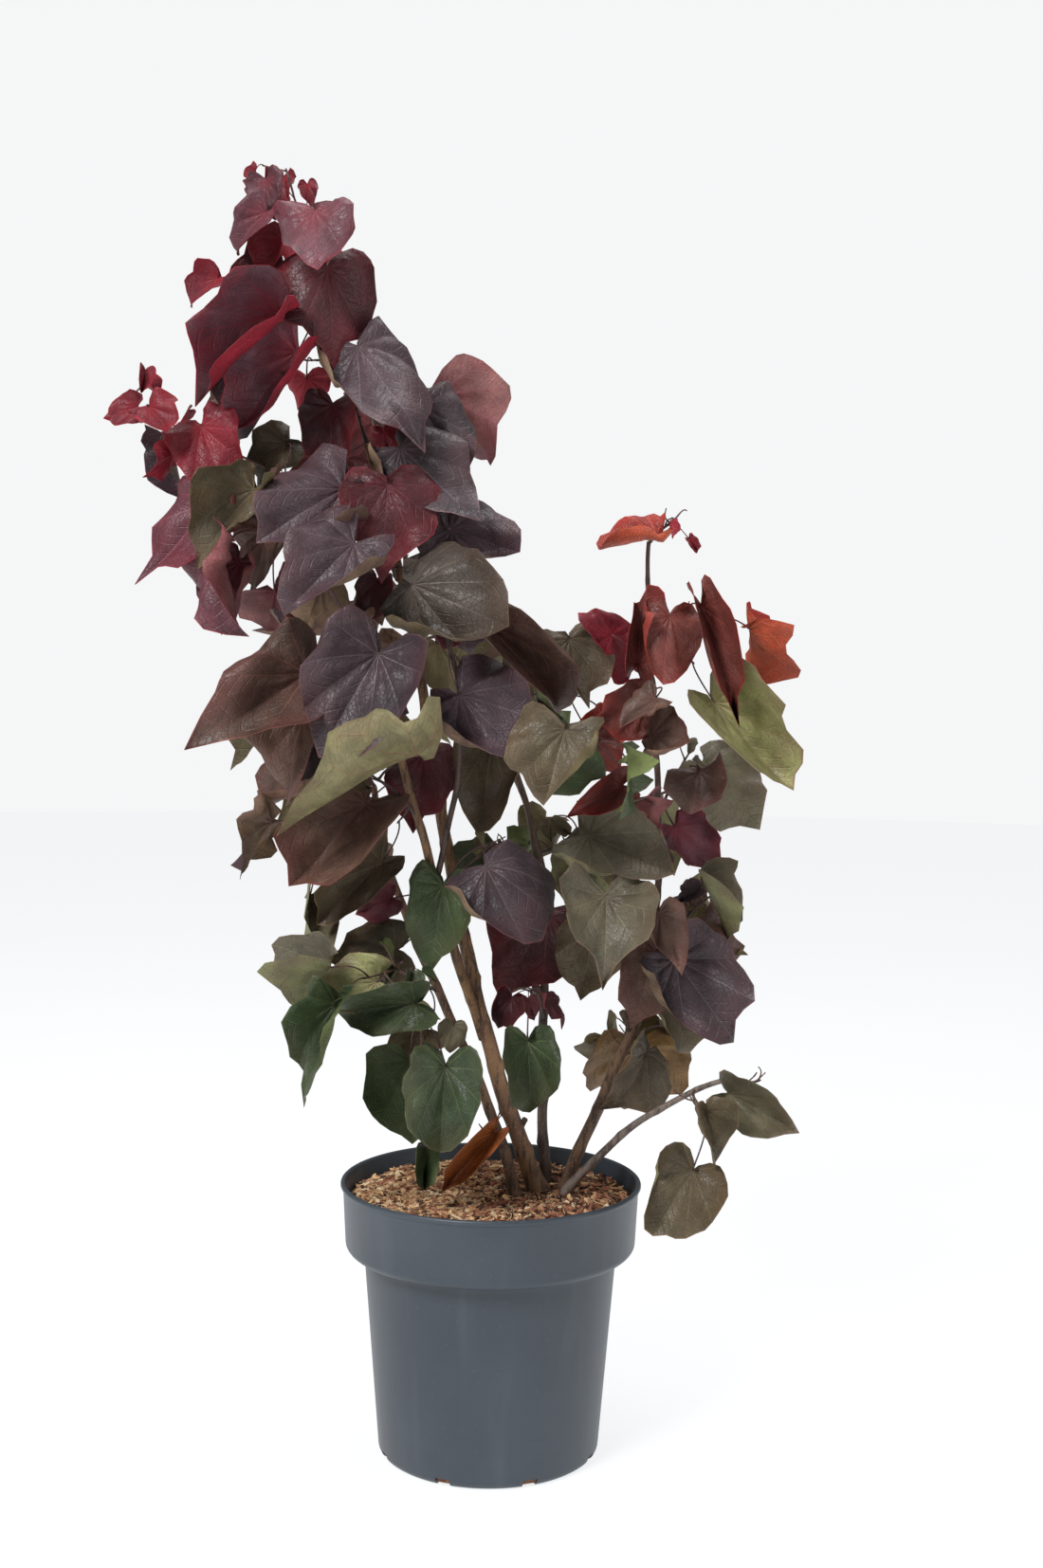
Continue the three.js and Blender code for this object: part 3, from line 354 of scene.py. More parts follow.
# %% Masses of foliage
# from: the limb that carries the mass, and how far along it.
# way: where its twig runs to. more: how many further leaves the dice hang on.
# show: leaves whose place is chosen, as stalk x, y, z, length, hang, turn, lean, fold, roll,
# curl and tint.
MASSES = {
  "leader_foliage": {
    "from": ["main_stem", 1], "way": [[-176, 14, 1160], [-213, 0, 1284]], "seed": 11,
    "show": [
      [-178, -64, 1231, 75, 10, -8, 32, -4, -0.4, 0.3, "mauve"],
      [-167, -46, 1181, 94, 4, 12, 8, 8, -0.6, 0.2, "burgundy"],
      [-230, -24, 1269, 40, 15, -14, 20, 4, 0.6, 0.2, "mauve"],
      [-219, 4, 1283, 31, -10, -10, 12, 16, 0.8, 0.1, "crimson"],
      [-189, -30, 1264, 21, 11, 6, 8, 20, 0.9, 0.1, "crimson"],
      [-212, -36, 1134, 116, -49, -22, 12, 44, 1.2, 0.2, "crimson"],
      [-138, -58, 1106, 122, 30, 12, 38, -8, -1.2, 0.5, "slate"],
      [-200, -14, 1105, 100, -37, -20, 14, 28, 1.2, 0.4, "burgundy"],
      [-228, -30, 1233, 57, -46, -30, 14, 24, 1, 0.3, "mauve"],
      [-213, -56, 1212, 44, -36, -20, 10, 26, 1.2, 0.1, "crimson"],
      [-222, -4, 1182, 62, -60, -30, 30, 18, 1, 0.2, "burgundy"],
      [-270, -28, 1164, 40, -54, -30, 12, 20, 1.4, 0.2, "crimson"],
      [-233, 14, 1083, 76, -35, -30, 10, 14, 0.8, 0.3, "slate"],
    ],
    "more": 6, "size": 60, "facing": -60, "spread": 96, "tints": ["crimson", "mauve", "burgundy"],
  },
  "upper_right_foliage": {
    "from": ["main_stem", 0.76], "way": [[-92, 4, 930], [-70, 8, 1020]], "seed": 23,
    "show": [
      [-77, -6, 1054, 86, 28, 22, 20, 14, -1, 0.6, "slate"],
      [-96, -34, 1010, 102, 44, 10, 30, 2, -1.6, 0.5, "slate"],
      [-46, -30, 932, 82, 70, 16, 24, -6, -1.4, 0.4, "slate"],
      [-80, -66, 874, 134, 65, 8, 36, -10, -1.7, 0.4, "olive"],
      [-106, -26, 972, 88, -3, 4, 10, 14, -0.6, 0.2, "burgundy"],
      [-166, 4, 1056, 74, -2, -10, 10, 22, 1, 0.2, "burgundy"],
      [-115, -14, 1030, 28, 16, 4, 14, 20, 0.9, 0.2, "crimson"],
      [-62, 8, 956, 74, 10, 10, 12, 18, 0.8, 0.2, "slate"],
      [-43, 30, 852, 42, -18, 10, 12, 18, 0.8, 0.2, "burgundy"],
      [-122, 30, 884, 46, -14, -10, 12, 18, 0.8, 0.2, "burgundy"],
    ],
    "more": 4, "size": 78, "facing": 60, "spread": 116, "tints": ["slate", "burgundy", "slate"],
  },
  "upper_left_foliage": {
    "from": ["side_bough", 1], "way": [[-180, -46, 900], [-214, -24, 975]], "seed": 31,
    "show": [
      [-149, -64, 967, 104, -54, -10, 34, 8, -1.6, 0.5, "slate"],
      [-135, -74, 912, 102, -40, -8, 32, 6, -1.2, 0.4, "slate"],
      [-253, -26, 898, 72, -18, -30, 16, 12, -0.8, 0.3, "mauve"],
      [-236, -56, 966, 95, -34, -24, 24, 34, 1.9, 0.3, "olive"],
      [-232, 8, 934, 76, -12, -40, 12, 20, 0.9, 0.3, "brown"],
      [-215, 6, 1020, 62, -42, -30, 14, 20, 1, 0.2, "olive"],
    ],
    "more": 4, "size": 80, "facing": -50, "spread": 120, "tints": ["brown", "mauve", "slate"],
  },
  "left_tip_foliage": {
    "from": ["main_stem", 0.86], "way": [[-215, 32, 985], [-372, 0, 1052]], "seed": 43,
    "show": [
      [-293, -22, 1030, 76, 24, -4, 18, 14, 1, 0.3, "crimson"],
      [-359, -10, 1050, 38, -70, -20, 20, 20, 1, 0.2, "crimson"],
      [-340, -14, 1046, 46, 42, -10, 16, 18, -1, 0.2, "crimson"],
      [-276, -32, 959, 103, -42, -24, 14, 8, -0.8, 0.3, "mauve"],
      [-268, 6, 1074, 56, -16, -20, 14, 20, 0.8, 0.3, "brown"],
      [-332, 24, 1020, 62, 16, -30, 10, 46, 1, 0.3, "slate"],
    ],
    "more": 4, "size": 44, "facing": -40, "spread": 64, "tints": ["crimson", "mauve"],
  },
  "fork_foliage": {
    "from": ["fork_bough", 1], "way": [[-46, -78, 868], [-30, -76, 890]], "seed": 83,
    "show": [
      [-34, -96, 770, 108, 46, 4, 22, -4, -1, 0.5, "slate"],
      [-12, -60, 841, 134, 45, 20, 10, 58, 0.8, 0.3, "brown"],
    ],
    "more": 2, "size": 60, "facing": 20, "spread": 60, "tints": ["slate", "burgundy"],
  },
  "left_middle_foliage": {
    "from": ["side_bough", 0.84], "way": [[-160, -62, 800], [-215, -44, 826]], "seed": 57,
    "show": [
      [-183, -52, 788, 130, -54, -8, 34, 34, 0.6, -0.3, "brown"],
      [-110, -90, 808, 121, -28, -6, 14, 20, 1, 0.3, "slate"],
      [-192, -26, 746, 100, -6, -20, 18, 20, 0.8, 0.4, "brown"],
      [-124, -20, 760, 112, -44, -20, 14, 22, 1, 0.2, "slate"],
      [-135, 0, 850, 120, -30, -90, 74, -2, -0.6, 0.2, "brown"],
    ],
    "more": 4, "size": 84, "facing": -70, "spread": 104, "tints": ["slate", "brown"],
  },
  "left_front_foliage": {
    "from": ["side_bough", 0.56], "way": [[-104, -60, 680], [-140, -70, 700]], "seed": 61,
    "show": [
      [-72, -126, 713, 144, -9, -84, 70, 30, 0.2, 0.6, "olive"],
      [-126, -72, 662, 122, -36, -14, 30, 26, 1, 0.3, "brown"],
      [-112, -54, 601, 90, -43, -18, 26, 44, 1, 0.3, "olive"],
    ],
    "more": 2, "size": 76, "facing": -70, "spread": 80, "tints": ["olive", "brown"],
  },
  "left_stem_foliage": {
    "from": ["left_stem", 1], "way": [[-158, 92, 720], [-196, 90, 780]], "seed": 73,
    "show": [
      [-187, 0, 560, 89, -10, 30, 8, 60, 0.6, 0.2, "sage"],
      [-73, 14, 709, 76, -7, 6, 8, 16, 0.8, 0.3, "burgundy"],
    ],
    "more": 8, "size": 88, "facing": -110, "spread": 130, "tints": ["olive", "brown", "slate"],
  },
  "centre_foliage": {
    "from": ["centre_stem", 1], "way": [[14, 66, 760], [40, 24, 812]], "seed": 97,
    "show": [
      [72, -20, 826, 80, 10, 14, 18, 6, -0.8, 0.3, "olive"],
      [46, -64, 720, 74, 65, 4, 12, 8, 0.8, 0.2, "green"],
      [-3, -26, 728, 102, -6, -6, 10, 38, 0.6, 0.1, "olive"],
      [109, 36, 744, 50, -61, 10, 20, 6, 0.8, 0.2, "orange"],
      [95, 12, 730, 50, 35, 10, 14, 12, 0.8, 0.2, "burgundy"],
      [123, -50, 683, 58, -60, 0, 20, 40, 1, 0.2, "mauve"],
    ],
    "more": 5, "size": 80, "facing": 60, "spread": 100, "tints": ["olive", "slate", "green"],
  },
  "right_tip_foliage": {
    "from": ["right_bough", 1], "way": [[166, 6, 938], [176, 5, 946]], "seed": 103,
    "show": [
      [158, -6, 932, 68, -38, -70, 70, 10, 0.6, 0.2, "orange"],
      [191, 4, 928, 18, 35, 20, 10, 30, 1, 0.1, "crimson"],
    ],
    "more": 1, "size": 18, "facing": 40, "spread": 24, "tints": ["crimson"],
  },
  "right_upper_foliage": {
    "from": ["right_bough", 0.74], "way": [[176, 10, 822], [206, -4, 852]], "seed": 113,
    "show": [
      [138, -28, 802, 80, 170, 6, -8, 50, 1, 0.1, "mauve"],
      [168, -64, 849, 74, -9, 6, 14, 8, -0.8, 0.3, "mauve"],
      [199, -42, 857, 119, 18, 6, 6, 66, 0.8, 0.1, "mauve"],
      [218, -16, 764, 118, 40, 10, 12, 44, 0.8, 0.2, "pale"],
      [147, -30, 756, 66, -78, -4, 40, 4, -1.2, 0.3, "burgundy"],
      [154, -44, 733, 58, 80, 10, 50, 4, -1, 0.3, "brown"],
      [115, 8, 831, 42, -122, -6, 20, 14, 0.8, 0.2, "crimson"],
      [137, 12, 799, 54, -160, -6, 10, 20, 0.8, 0.2, "crimson"],
      [210, 2, 860, 17, 143, 20, 10, 30, 1, 0.1, "crimson"],
    ],
    "more": 2, "size": 62, "facing": 110, "spread": 100, "tints": ["burgundy", "brown", "orange"],
  },
  "right_middle_foliage": {
    "from": ["right_bough", 0.42], "way": [[182, 50, 680], [206, 66, 720]], "seed": 127,
    "show": [
      [94, -54, 630, 97, 68, 4, 30, 26, -1.1, 0.4, "sage"],
      [182, 6, 638, 56, 40, 20, 12, 16, 0.9, 0.2, "mauve"],
    ],
    "more": 4, "size": 80, "facing": 120, "spread": 110, "tints": ["sage", "mauve", "brown"],
  },
  "right_low_foliage": {
    "from": ["right_bough", 0.16], "way": [[196, 20, 545], [222, 10, 570]], "seed": 139,
    "show": [
      [180, -44, 511, 104, 35, 10, 16, 4, -0.9, 0.3, "slate"],
      [110, -74, 577, 86, -3, 2, 36, 4, 0.6, 0.2, "sage"],
      [209, 0, 588, 71, 28, 40, 8, 50, 0.8, 0.1, "sage"],
      [100, 2, 529, 72, -10, 6, 10, 16, 0.9, 0.2, "olive"],
      [163, 10, 512, 80, -16, 6, 12, 18, 0.9, 0.2, "brown"],
      [179, -6, 460, 70, 24, 20, 12, 24, 0.8, 0.2, "olive"],
    ],
    "more": 3, "size": 74, "facing": 120, "spread": 90, "tints": ["slate", "brown", "olive"],
  },
  "middle_foliage": {
    "from": ["centre_stem", 0.62], "way": [[20, 30, 600], [-4, -20, 622]], "seed": 149,
    "show": [
      [-7, -94, 606, 106, 29, 2, 46, -4, -0.9, 0.4, "slate"],
      [54, 34, 545, 102, -28, -4, 12, 10, 0.8, 0.2, "burgundy"],
      [-50, -10, 581, 88, -7, -6, 12, 24, 0.8, 0.2, "green"],
      [-98, -20, 511, 72, -82, -10, 18, 16, 0.8, 0.2, "olive"],
      [-105, 12, 561, 42, -65, -10, 16, 16, 0.8, 0.2, "mauve"],
    ],
    "more": 2, "size": 74, "facing": 0, "spread": 90, "tints": ["olive", "burgundy", "green"],
  },
  "heart_foliage": {
    "from": ["centre_stem", 0.36], "way": [[44, -6, 466], [38, -40, 476]], "seed": 151,
    "show": [
      [35, -64, 431, 79, 4, 6, 8, 36, 0.5, 0.2, "green"],
      [19, -22, 467, 37, -23, -6, 12, 16, 0.8, 0.2, "burgundy"],
      [36, -34, 472, 23, 13, 20, 10, 30, 0.8, 0.1, "burgundy"],
    ],
    "more": 1, "size": 46, "facing": 170, "spread": 60, "tints": ["burgundy", "green"],
  },
  "left_foot_foliage": {
    "from": ["left_stem", 0.5], "way": [[-84, -18, 486], [-96, -48, 500]], "seed": 163,
    "show": [
      [-75, -84, 471, 88, -80, -20, 24, 46, 0.8, 0.3, "green"],
      [-148, -96, 474, 100, -17, -20, 10, 54, 0.6, 0.3, "green"],
      [-114, -50, 486, 68, -84, -20, 34, 20, 0.8, 0.2, "pale"],
      [-44, -96, 411, 89, -3, 2, 10, 34, 0.4, 0.1, "green"],
      [-81, -50, 408, 86, 5, -8, 8, 14, 0.8, 0.1, "green"],
      [-67, 0, 429, 52, -60, -14, 20, 14, 0.8, 0.2, "olive"],
      [-39, -20, 438, 30, -7, 4, 10, 16, 0.6, 0.1, "sage"],
      [-77, -30, 460, 28, 62, 4, 20, 20, 0.6, 0.1, "pale"],
      [-62, -50, 325, 43, -3, 4, 10, 50, 0.6, 0.1, "green"],
    ],
    "more": 3, "size": 66, "facing": -120, "spread": 80, "tints": ["green", "olive", "sage"],
  },
  "soil_foliage": {
    "from": ["left_stem", 0.12], "way": [[4, -44, 322], [0, -62, 340]], "seed": 173,
    "show": [
      [3, -76, 342, 76, -40, -12, 14, 58, 0.9, -0.1, "orange"],
    ],
    "more": 1, "size": 46, "facing": -60, "spread": 60, "tints": ["olive"],
  },
  "right_foot_foliage": {
    "from": ["right_stem", 0.7], "way": [[138, 44, 404], [146, 58, 416]], "seed": 181,
    "show": [
      [152, 48, 404, 104, -4, 4, -34, 6, 0.6, 0.1, "brown"],
    ],
    "more": 3, "size": 80, "facing": 160, "spread": 80, "tints": ["olive", "brown", "green"],
  },
  "low_tip_foliage": {
    "from": ["low_stem", 1], "way": [[252, -58, 392], [262, -62, 394]], "seed": 191,
    "show": [
      [233, -72, 383, 72, 62, 10, 20, 34, 0.9, 0.2, "sage"],
    ],
    "more": 1, "size": 36, "facing": 80, "spread": 30, "tints": ["sage"],
  },
  "low_side_foliage": {
    "from": ["low_stem", 0.78], "way": [[200, -66, 376], [212, -74, 358]], "seed": 193,
    "show": [
      [208, -72, 372, 60, 8, 20, 6, 48, 0.6, 0.1, "olive"],
      [195, -92, 316, 80, -30, -10, 10, 12, 0.6, 0.1, "olive"],
    ],
    "more": 1, "size": 44, "facing": 120, "spread": 40, "tints": ["sage"],
  },
  "back_upper_foliage": {
    "from": ["main_stem", 0.92], "way": [[-130, 70, 1040], [-160, 110, 1100]], "seed": 199,
    "show": [],
    "more": 8, "size": 84, "facing": 180, "spread": 140, "tints": ["mauve", "slate", "burgundy"],
  },
  "back_bough_foliage": {
    "from": ["back_bough", 1], "way": [[-84, 160, 860], [-120, 150, 920]], "seed": 211,
    "show": [],
    "more": 10, "size": 88, "facing": 170, "spread": 140, "tints": ["slate", "brown", "olive"],
  },
  "back_low_foliage": {
    "from": ["back_bough", 0.3], "way": [[70, 130, 610], [110, 150, 640]], "seed": 223,
    "show": [],
    "more": 7, "size": 84, "facing": 160, "spread": 120, "tints": ["sage", "olive", "green"],
  },
}

# %% [markdown]
# ## Growing the plant
# Every limb is a cubic through its four points, and every twig a plain bow. A leaf is a flat
# heart that is folded along its rib and curled, so one short formula places any point of it.
# The rule is repeated here instead of being read from the solids, because a scene that knows
# where each blade begins and how it lies can give it veins, waves and a stalk.

# %% Courses


def course_points(points, shares):
    """The cubic through four points, at shares of its course."""
    t = np.asarray(shares, float)[:, None]
    weights = (
        -4.5 * (t - 1 / 3) * (t - 2 / 3) * (t - 1),
        13.5 * t * (t - 2 / 3) * (t - 1),
        -13.5 * t * (t - 1 / 3) * (t - 1),
        4.5 * t * (t - 1 / 3) * (t - 2 / 3),
    )
    return sum(w * np.array(p, float) for w, p in zip(weights, points))


def bow_points(points, shares):
    """The parabola through a start, a middle and an end. Two points give a straight line."""
    t = np.asarray(shares, float)[:, None]
    if len(points) == 2:
        return points[0] + t * (points[1] - points[0])
    weights = ((1 - t) * (1 - 2 * t), 4 * t * (1 - t), t * (2 * t - 1))
    return sum(w * p for w, p in zip(weights, points))


class Twig:
    """The course of a twig or of a sprig."""

    def __init__(self, points, sprig=False):
        self.points = [np.array(p, float) for p in points]
        self.sprig = sprig
        steps = np.diff(bow_points(self.points, np.linspace(0, 1, 201)), axis=0)
        self.length = np.linalg.norm(steps, axis=1).sum()

    def at(self, share):
        return bow_points(self.points, [share])[0]


class Dice:
    """The seeded dice that the solids were grown with."""

    def __init__(self, seed):
        self.state = seed

    def roll(self, low, high):
        self.state = (self.state * 1664525 + 1013904223) % 2 ** 32
        return low + (high - low) * self.state / 2 ** 32


# %% The shape of a blade
# The outline's distance from the stalk, as a share of the length, by the angle from the tip in
# degrees: first as the solids have it, then rounded.
HEART = ((0, 1), (14, 0.83), (30, 0.74), (72, 0.58), (90, 0.53), (120, 0.4), (142, 0.24), (180, 0.03))
SMOOTH_HEART = ((0, 1), (5, 0.90), (14, 0.825), (25, 0.765), (38, 0.712), (52, 0.656), (68, 0.597),
                (88, 0.54), (105, 0.488), (120, 0.417), (135, 0.311), (148, 0.189), (163, 0.08),
                (180, 0.03))


def blade_frame(leaf):
    """The directions of a blade's tip, of its upper face and of its right side."""
    hang, turn, lean = (math.radians(leaf[k]) for k in ("hang", "turn", "lean"))
    outward = np.array((math.sin(turn), -math.cos(turn), 0))
    right = np.array((math.cos(turn), math.sin(turn), 0))
    drop = right * math.sin(hang) - np.array((0, 0, math.cos(hang)))
    tip = drop * math.cos(lean) + outward * math.sin(lean)
    face = outward * math.cos(lean) - drop * math.sin(lean)
    return tip, face, np.cross(face, tip)


def bend(start, rate, length):
    """A bend that starts at a slope and turns at a rate, as how far it gets along and up."""
    if abs(rate) < 1e-3:
        return length * math.cos(start), length * math.sin(start)
    end = start + rate * length
    return (np.sin(end) - math.sin(start)) / rate, (math.cos(start) - np.cos(end)) / rate


def blade_points(leaf, side, ahead, lifted=0.0):
    """Points of the blade, by how far they are to the side and ahead of its stalk, flat."""
    tip, face, across = leaf["frame"]
    wide, high = bend(math.radians(leaf["fold"]), leaf["roll"], np.abs(side))
    far, back = bend(0, leaf["curl"], ahead)
    high = high + lifted
    lift = leaf["curl"] * ahead
    along = (far + high * np.sin(lift))[:, None] * tip
    out = (high * np.cos(lift) - back)[:, None] * face
    return leaf["at"] + leaf["length"] * (along + out + (np.sign(side) * wide)[:, None] * across)


WIDEST = 72  # degrees from the tip to a widest corner


def corner_points(leaf):
    """The blade's tip and its two widest corners, as the solids have them."""
    angles = np.radians([0, WIDEST, -WIDEST])
    reaches = np.array([np.interp(a, *zip(*HEART)) for a in (0, WIDEST, WIDEST)])
    return blade_points(leaf, reaches * np.sin(angles), reaches * np.cos(angles))


# %% Stalks


def nodes_near(twigs, target):
    """The nearest nodes of the twigs, as distance, order and place."""
    found = []
    for twig in twigs:
        share = min(BARE_MOST, BARE_FOOT / twig.length)
        while share <= LAST_NODE:
            point = twig.at(share)
            found.append((float(np.linalg.norm(point - target)), len(found), point))
            share += NODE_STEP
    return sorted(found)[:NODE_TRIES]


def stalk_of(leaf, node):
    """The stalk from the blade to the node, as points, and the sprig it may hang on."""
    distance, _, point = node
    foot = point
    sprig = None
    if distance > LONGEST_PETIOLE:
        foot = leaf["at"] + (point - leaf["at"]) * PETIOLE_LENGTH / distance
        foot = foot + np.array((0, 0, SPRIG_LIFT * distance))
        sprig = Twig([point, foot], sprig=True)
    reach = np.linalg.norm(foot - leaf["at"])
    along, back = PETIOLE_BEND
    middle = leaf["at"] + (foot - leaf["at"]) * along - leaf["frame"][0] * back * reach
    return [leaf["at"], middle, foot], sprig


def ring_corners(leaf, middle):
    """Where the stalk's square section lies at its middle, as the solids have it."""
    across = leaf["frame"][2]
    way = (middle - leaf["at"]) / np.linalg.norm(middle - leaf["at"])
    flat = across - way * across.dot(way)
    flat = flat / np.linalg.norm(flat)
    up = np.cross(way, flat)
    return [middle + a * flat + b * up for a, b in ((1, 1), (-1, 1), (-1, -1), (1, -1))]


FIT = 0.1  # millimetres that a vertex may be off


class Solid:
    """A packed mass of foliage, which tells whether a leaf grew there."""

    def __init__(self, name):
        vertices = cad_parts[name].data.vertices
        self.tree = KDTree(len(vertices))
        for place, vertex in enumerate(vertices):
            self.tree.insert(vertex.co / MM, place)
        self.tree.balance()

    def gap(self, point):
        return self.tree.find(Vector(point))[2]

    def bears(self, leaf):
        half = max(LEAST_THICKNESS, leaf["length"] * BLADE_THICKNESS) / 2
        return all(self.gap(corner) < half + FIT for corner in corner_points(leaf))

    def matches(self, corners):
        return sum(self.gap(corner) < FIT for corner in corners)


def hang_leaf(mass, leaf):
    """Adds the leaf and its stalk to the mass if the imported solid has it."""
    leaf["frame"] = blade_frame(leaf)
    if not mass["solid"].bears(leaf):
        return False
    stalks = [stalk_of(leaf, node) for node in nodes_near(mass["twigs"], leaf["at"])]
    fits = [mass["solid"].matches(ring_corners(leaf, path[1])) for path, _ in stalks]
    leaf["path"], sprig = stalks[int(np.argmax(fits))]
    leaf["sure"] = max(fits) > 1
    if sprig:
        mass["twigs"].append(sprig)
    mass["leaves"].append(leaf)
    return True


def chosen_leaf(row, shift):
    """A leaf from a row of the table, moved front to back by a shift."""
    keys = ("length", "hang", "turn", "lean", "fold", "roll", "curl", "tint")
    return {"at": np.array((row[0], row[1] + shift, row[2]), float), **dict(zip(keys, row[3:]))}


def seeded_leaf(plan, mass, dice, count):
    """A leaf at a place and with a shape from the dice, turned on by the golden angle."""
    twig = mass["twigs"][int(dice.roll(0, len(mass["twigs"])))]
    at = twig.at(dice.roll(0.25, 0.95))
    round_angle = plan["facing"] + ((count * GOLDEN_ANGLE) % 360 - 180) * ROUND_SHARE
    reach = plan["spread"] * dice.roll(0.21, 0.7)
    turned = math.radians(round_angle)
    at = at + np.array((math.sin(turned) * reach, -math.cos(turned) * reach, 0))
    at[2] += dice.roll(-0.35, 0.25) * reach
    return {
        "at": at,
        "length": plan["size"] * dice.roll(0.72, 1.18),
        "hang": dice.roll(-42, 42),
        "turn": round_angle + dice.roll(-40, 40),
        "lean": dice.roll(2, 40),
        "fold": dice.roll(-8, 34),
        "roll": dice.roll(-1.5, 1.3),
        "curl": dice.roll(0, 0.6),
        "tint": plan["tints"][int(dice.roll(0, len(plan["tints"])))],
    }


# %% Grow every mass
masses = {}
for name, plan in MASSES.items():
    limb, share = plan["from"]
    start = course_points(LIMBS[limb]["course"], [share])[0]
    masses[name] = {"plan": plan, "solid": Solid(name), "leaves": [],
                    "twigs": [Twig([start, *plan["way"]])]}
for mass in masses.values():
    for row in mass["plan"]["show"]:
        any(hang_leaf(mass, chosen_leaf(row, shift)) for shift in SHIFTS)
for mass in masses.values():
    dice = Dice(mass["plan"]["seed"])
    for count in range(mass["plan"]["more"]):
        any(hang_leaf(mass, seeded_leaf(mass["plan"], mass, dice, count)) for _ in range(TRIES))
leaves = [leaf for mass in masses.values() for leaf in mass["leaves"]]
print("leaves", len(leaves), "of them with a sure stalk", sum(leaf["sure"] for leaf in leaves))

# %% [markdown]
# ## Pot
# A blow-moulded nursery pot: a thin wall that tapers to its base, a tall collar with a rounded
# lower edge and a rolled lip, and eight drain notches where the wall meets the floor. Its
# section is drawn once and spun, and the notches are cut with a Boolean.

# %% Pot section
POT_STEPS = 144
POT_HEIGHT = 277
POT_WALL = 2.4
BASE_RADIUS = 112.5
BODY_TOP_RADIUS = 129
COLLAR_BOTTOM = 206
COLLAR_EDGE_RADIUS = 135
COLLAR_RADIUS = 147.3
COLLAR_ROUND_TOP = 216
COLLAR_TOP_RADIUS = 150
LIP_RADIUS = 152.7
LIP_HALF = 3  # of the lip's height
BASE_ROUND = 8
POT_FLOOR = 3


def arc(centre, radii, start, end, steps):
    """Points of an ellipse's arc, from one angle to another in degrees."""
    angles = np.radians(np.linspace(start, end, steps))
    (x, y), (wide, high) = centre, radii
    return [(x + wide * math.cos(a), y + high * math.sin(a)) for a in angles]


collar_round = (COLLAR_RADIUS - COLLAR_EDGE_RADIUS, COLLAR_ROUND_TOP - COLLAR_BOTTOM)
lip_round = (LIP_RADIUS - COLLAR_TOP_RADIUS, LIP_HALF)
pot_section = [
    # the under side, and the round of the base
    (0, 0), (BASE_RADIUS - 22, 0), (BASE_RADIUS - 18, 1.2),
    *arc((BASE_RADIUS - BASE_ROUND, BASE_ROUND), (BASE_ROUND, BASE_ROUND), -80, 0, 6),
    # the body, and the step out under the collar
    (BODY_TOP_RADIUS - 1.2, COLLAR_BOTTOM - 8), (BODY_TOP_RADIUS, COLLAR_BOTTOM + 1.2),
    (BODY_TOP_RADIUS + 1.5, COLLAR_BOTTOM + 2.2),
    *arc((COLLAR_EDGE_RADIUS, COLLAR_ROUND_TOP), collar_round, -90, 0, 8),
    # the collar, and the lip
    (COLLAR_TOP_RADIUS, POT_HEIGHT - 7),
    *arc((COLLAR_TOP_RADIUS, POT_HEIGHT - LIP_HALF), lip_round, -70, 90, 7),
    (COLLAR_TOP_RADIUS - 1.4, POT_HEIGHT - 0.5),
    # the inside, down to the middle of the floor
    (COLLAR_TOP_RADIUS - POT_WALL, POT_HEIGHT - 2.6),
    (COLLAR_RADIUS - POT_WALL, COLLAR_ROUND_TOP + POT_WALL),
    (BODY_TOP_RADIUS - POT_WALL, COLLAR_BOTTOM + 2 * POT_WALL),
    (BASE_RADIUS - POT_WALL, POT_FLOOR), (0, POT_FLOOR),
]


def spun(section, steps):
    """A section turned round the upright axis into a closed body."""
    form = bmesh.new()
    points = [form.verts.new((r * MM, 0, z * MM)) for r, z in section]
    edges = [form.edges.new(pair) for pair in zip(points, points[1:])]
    bmesh.ops.spin(form, geom=points + edges, cent=(0, 0, 0), axis=(0, 0, 1),
                   angle=math.tau, steps=steps, use_merge=True)
    bmesh.ops.remove_doubles(form, verts=form.verts, dist=1e-6)
    bmesh.ops.recalc_face_normals(form, faces=form.faces)
    return form


pot_mesh = finish_mesh(spun(pot_section, POT_STEPS), "pot_shell")
print("points of the pot's section", len(pot_section))

# %% Drain notches
DRAINS = 8
DRAIN_INSET = 5  # of a notch's middle from the edge of the base
DRAIN_SIZE = (15, 12, 16)
SHARP_FROM = 50  # degrees
drain_form = bmesh.new()
inset = Matrix.Translation((0, -(BASE_RADIUS - DRAIN_INSET) * MM, 0))
block = Matrix.Diagonal((*(size * MM for size in DRAIN_SIZE), 1))
for notch in range(DRAINS):
    turned = Matrix.Rotation((notch + 0.5) * math.tau / DRAINS, 4, "Z")
    bmesh.ops.create_cube(drain_form, size=1, matrix=turned @ inset @ block)
bmesh.ops.recalc_face_normals(drain_form, faces=drain_form.faces)
drain_tool = bpy.data.objects.new("drain_tool", finish_mesh(drain_form, "drain_tool"))
pot_blank = bpy.data.objects.new("pot_blank", pot_mesh)
for thing in (drain_tool, pot_blank):
    scene.collection.objects.link(thing)
cut = pot_blank.modifiers.new("drains", "BOOLEAN")
cut.operation = "DIFFERENCE"
cut.object = drain_tool
cut_pot = pot_blank.evaluated_get(bpy.context.evaluated_depsgraph_get())
pot_mesh = bpy.data.meshes.new_from_object(cut_pot)
for thing in (pot_blank, drain_tool):
    bpy.data.objects.remove(thing)
pot_mesh.set_sharp_from_angle(angle=math.radians(SHARP_FROM))
print("pot faces", len(pot_mesh.polygons))

# %% [markdown]
# ## Pot plastic
# The plastic is slate-grey and half matt. It is never one even tone: it has faint clouds and
# upright flow streaks from the mould, a little dust, and scratches that run round it. Noise on
# Object coordinates makes them all, squeezed along Z where a mark runs round and stretched
# where it stands upright.

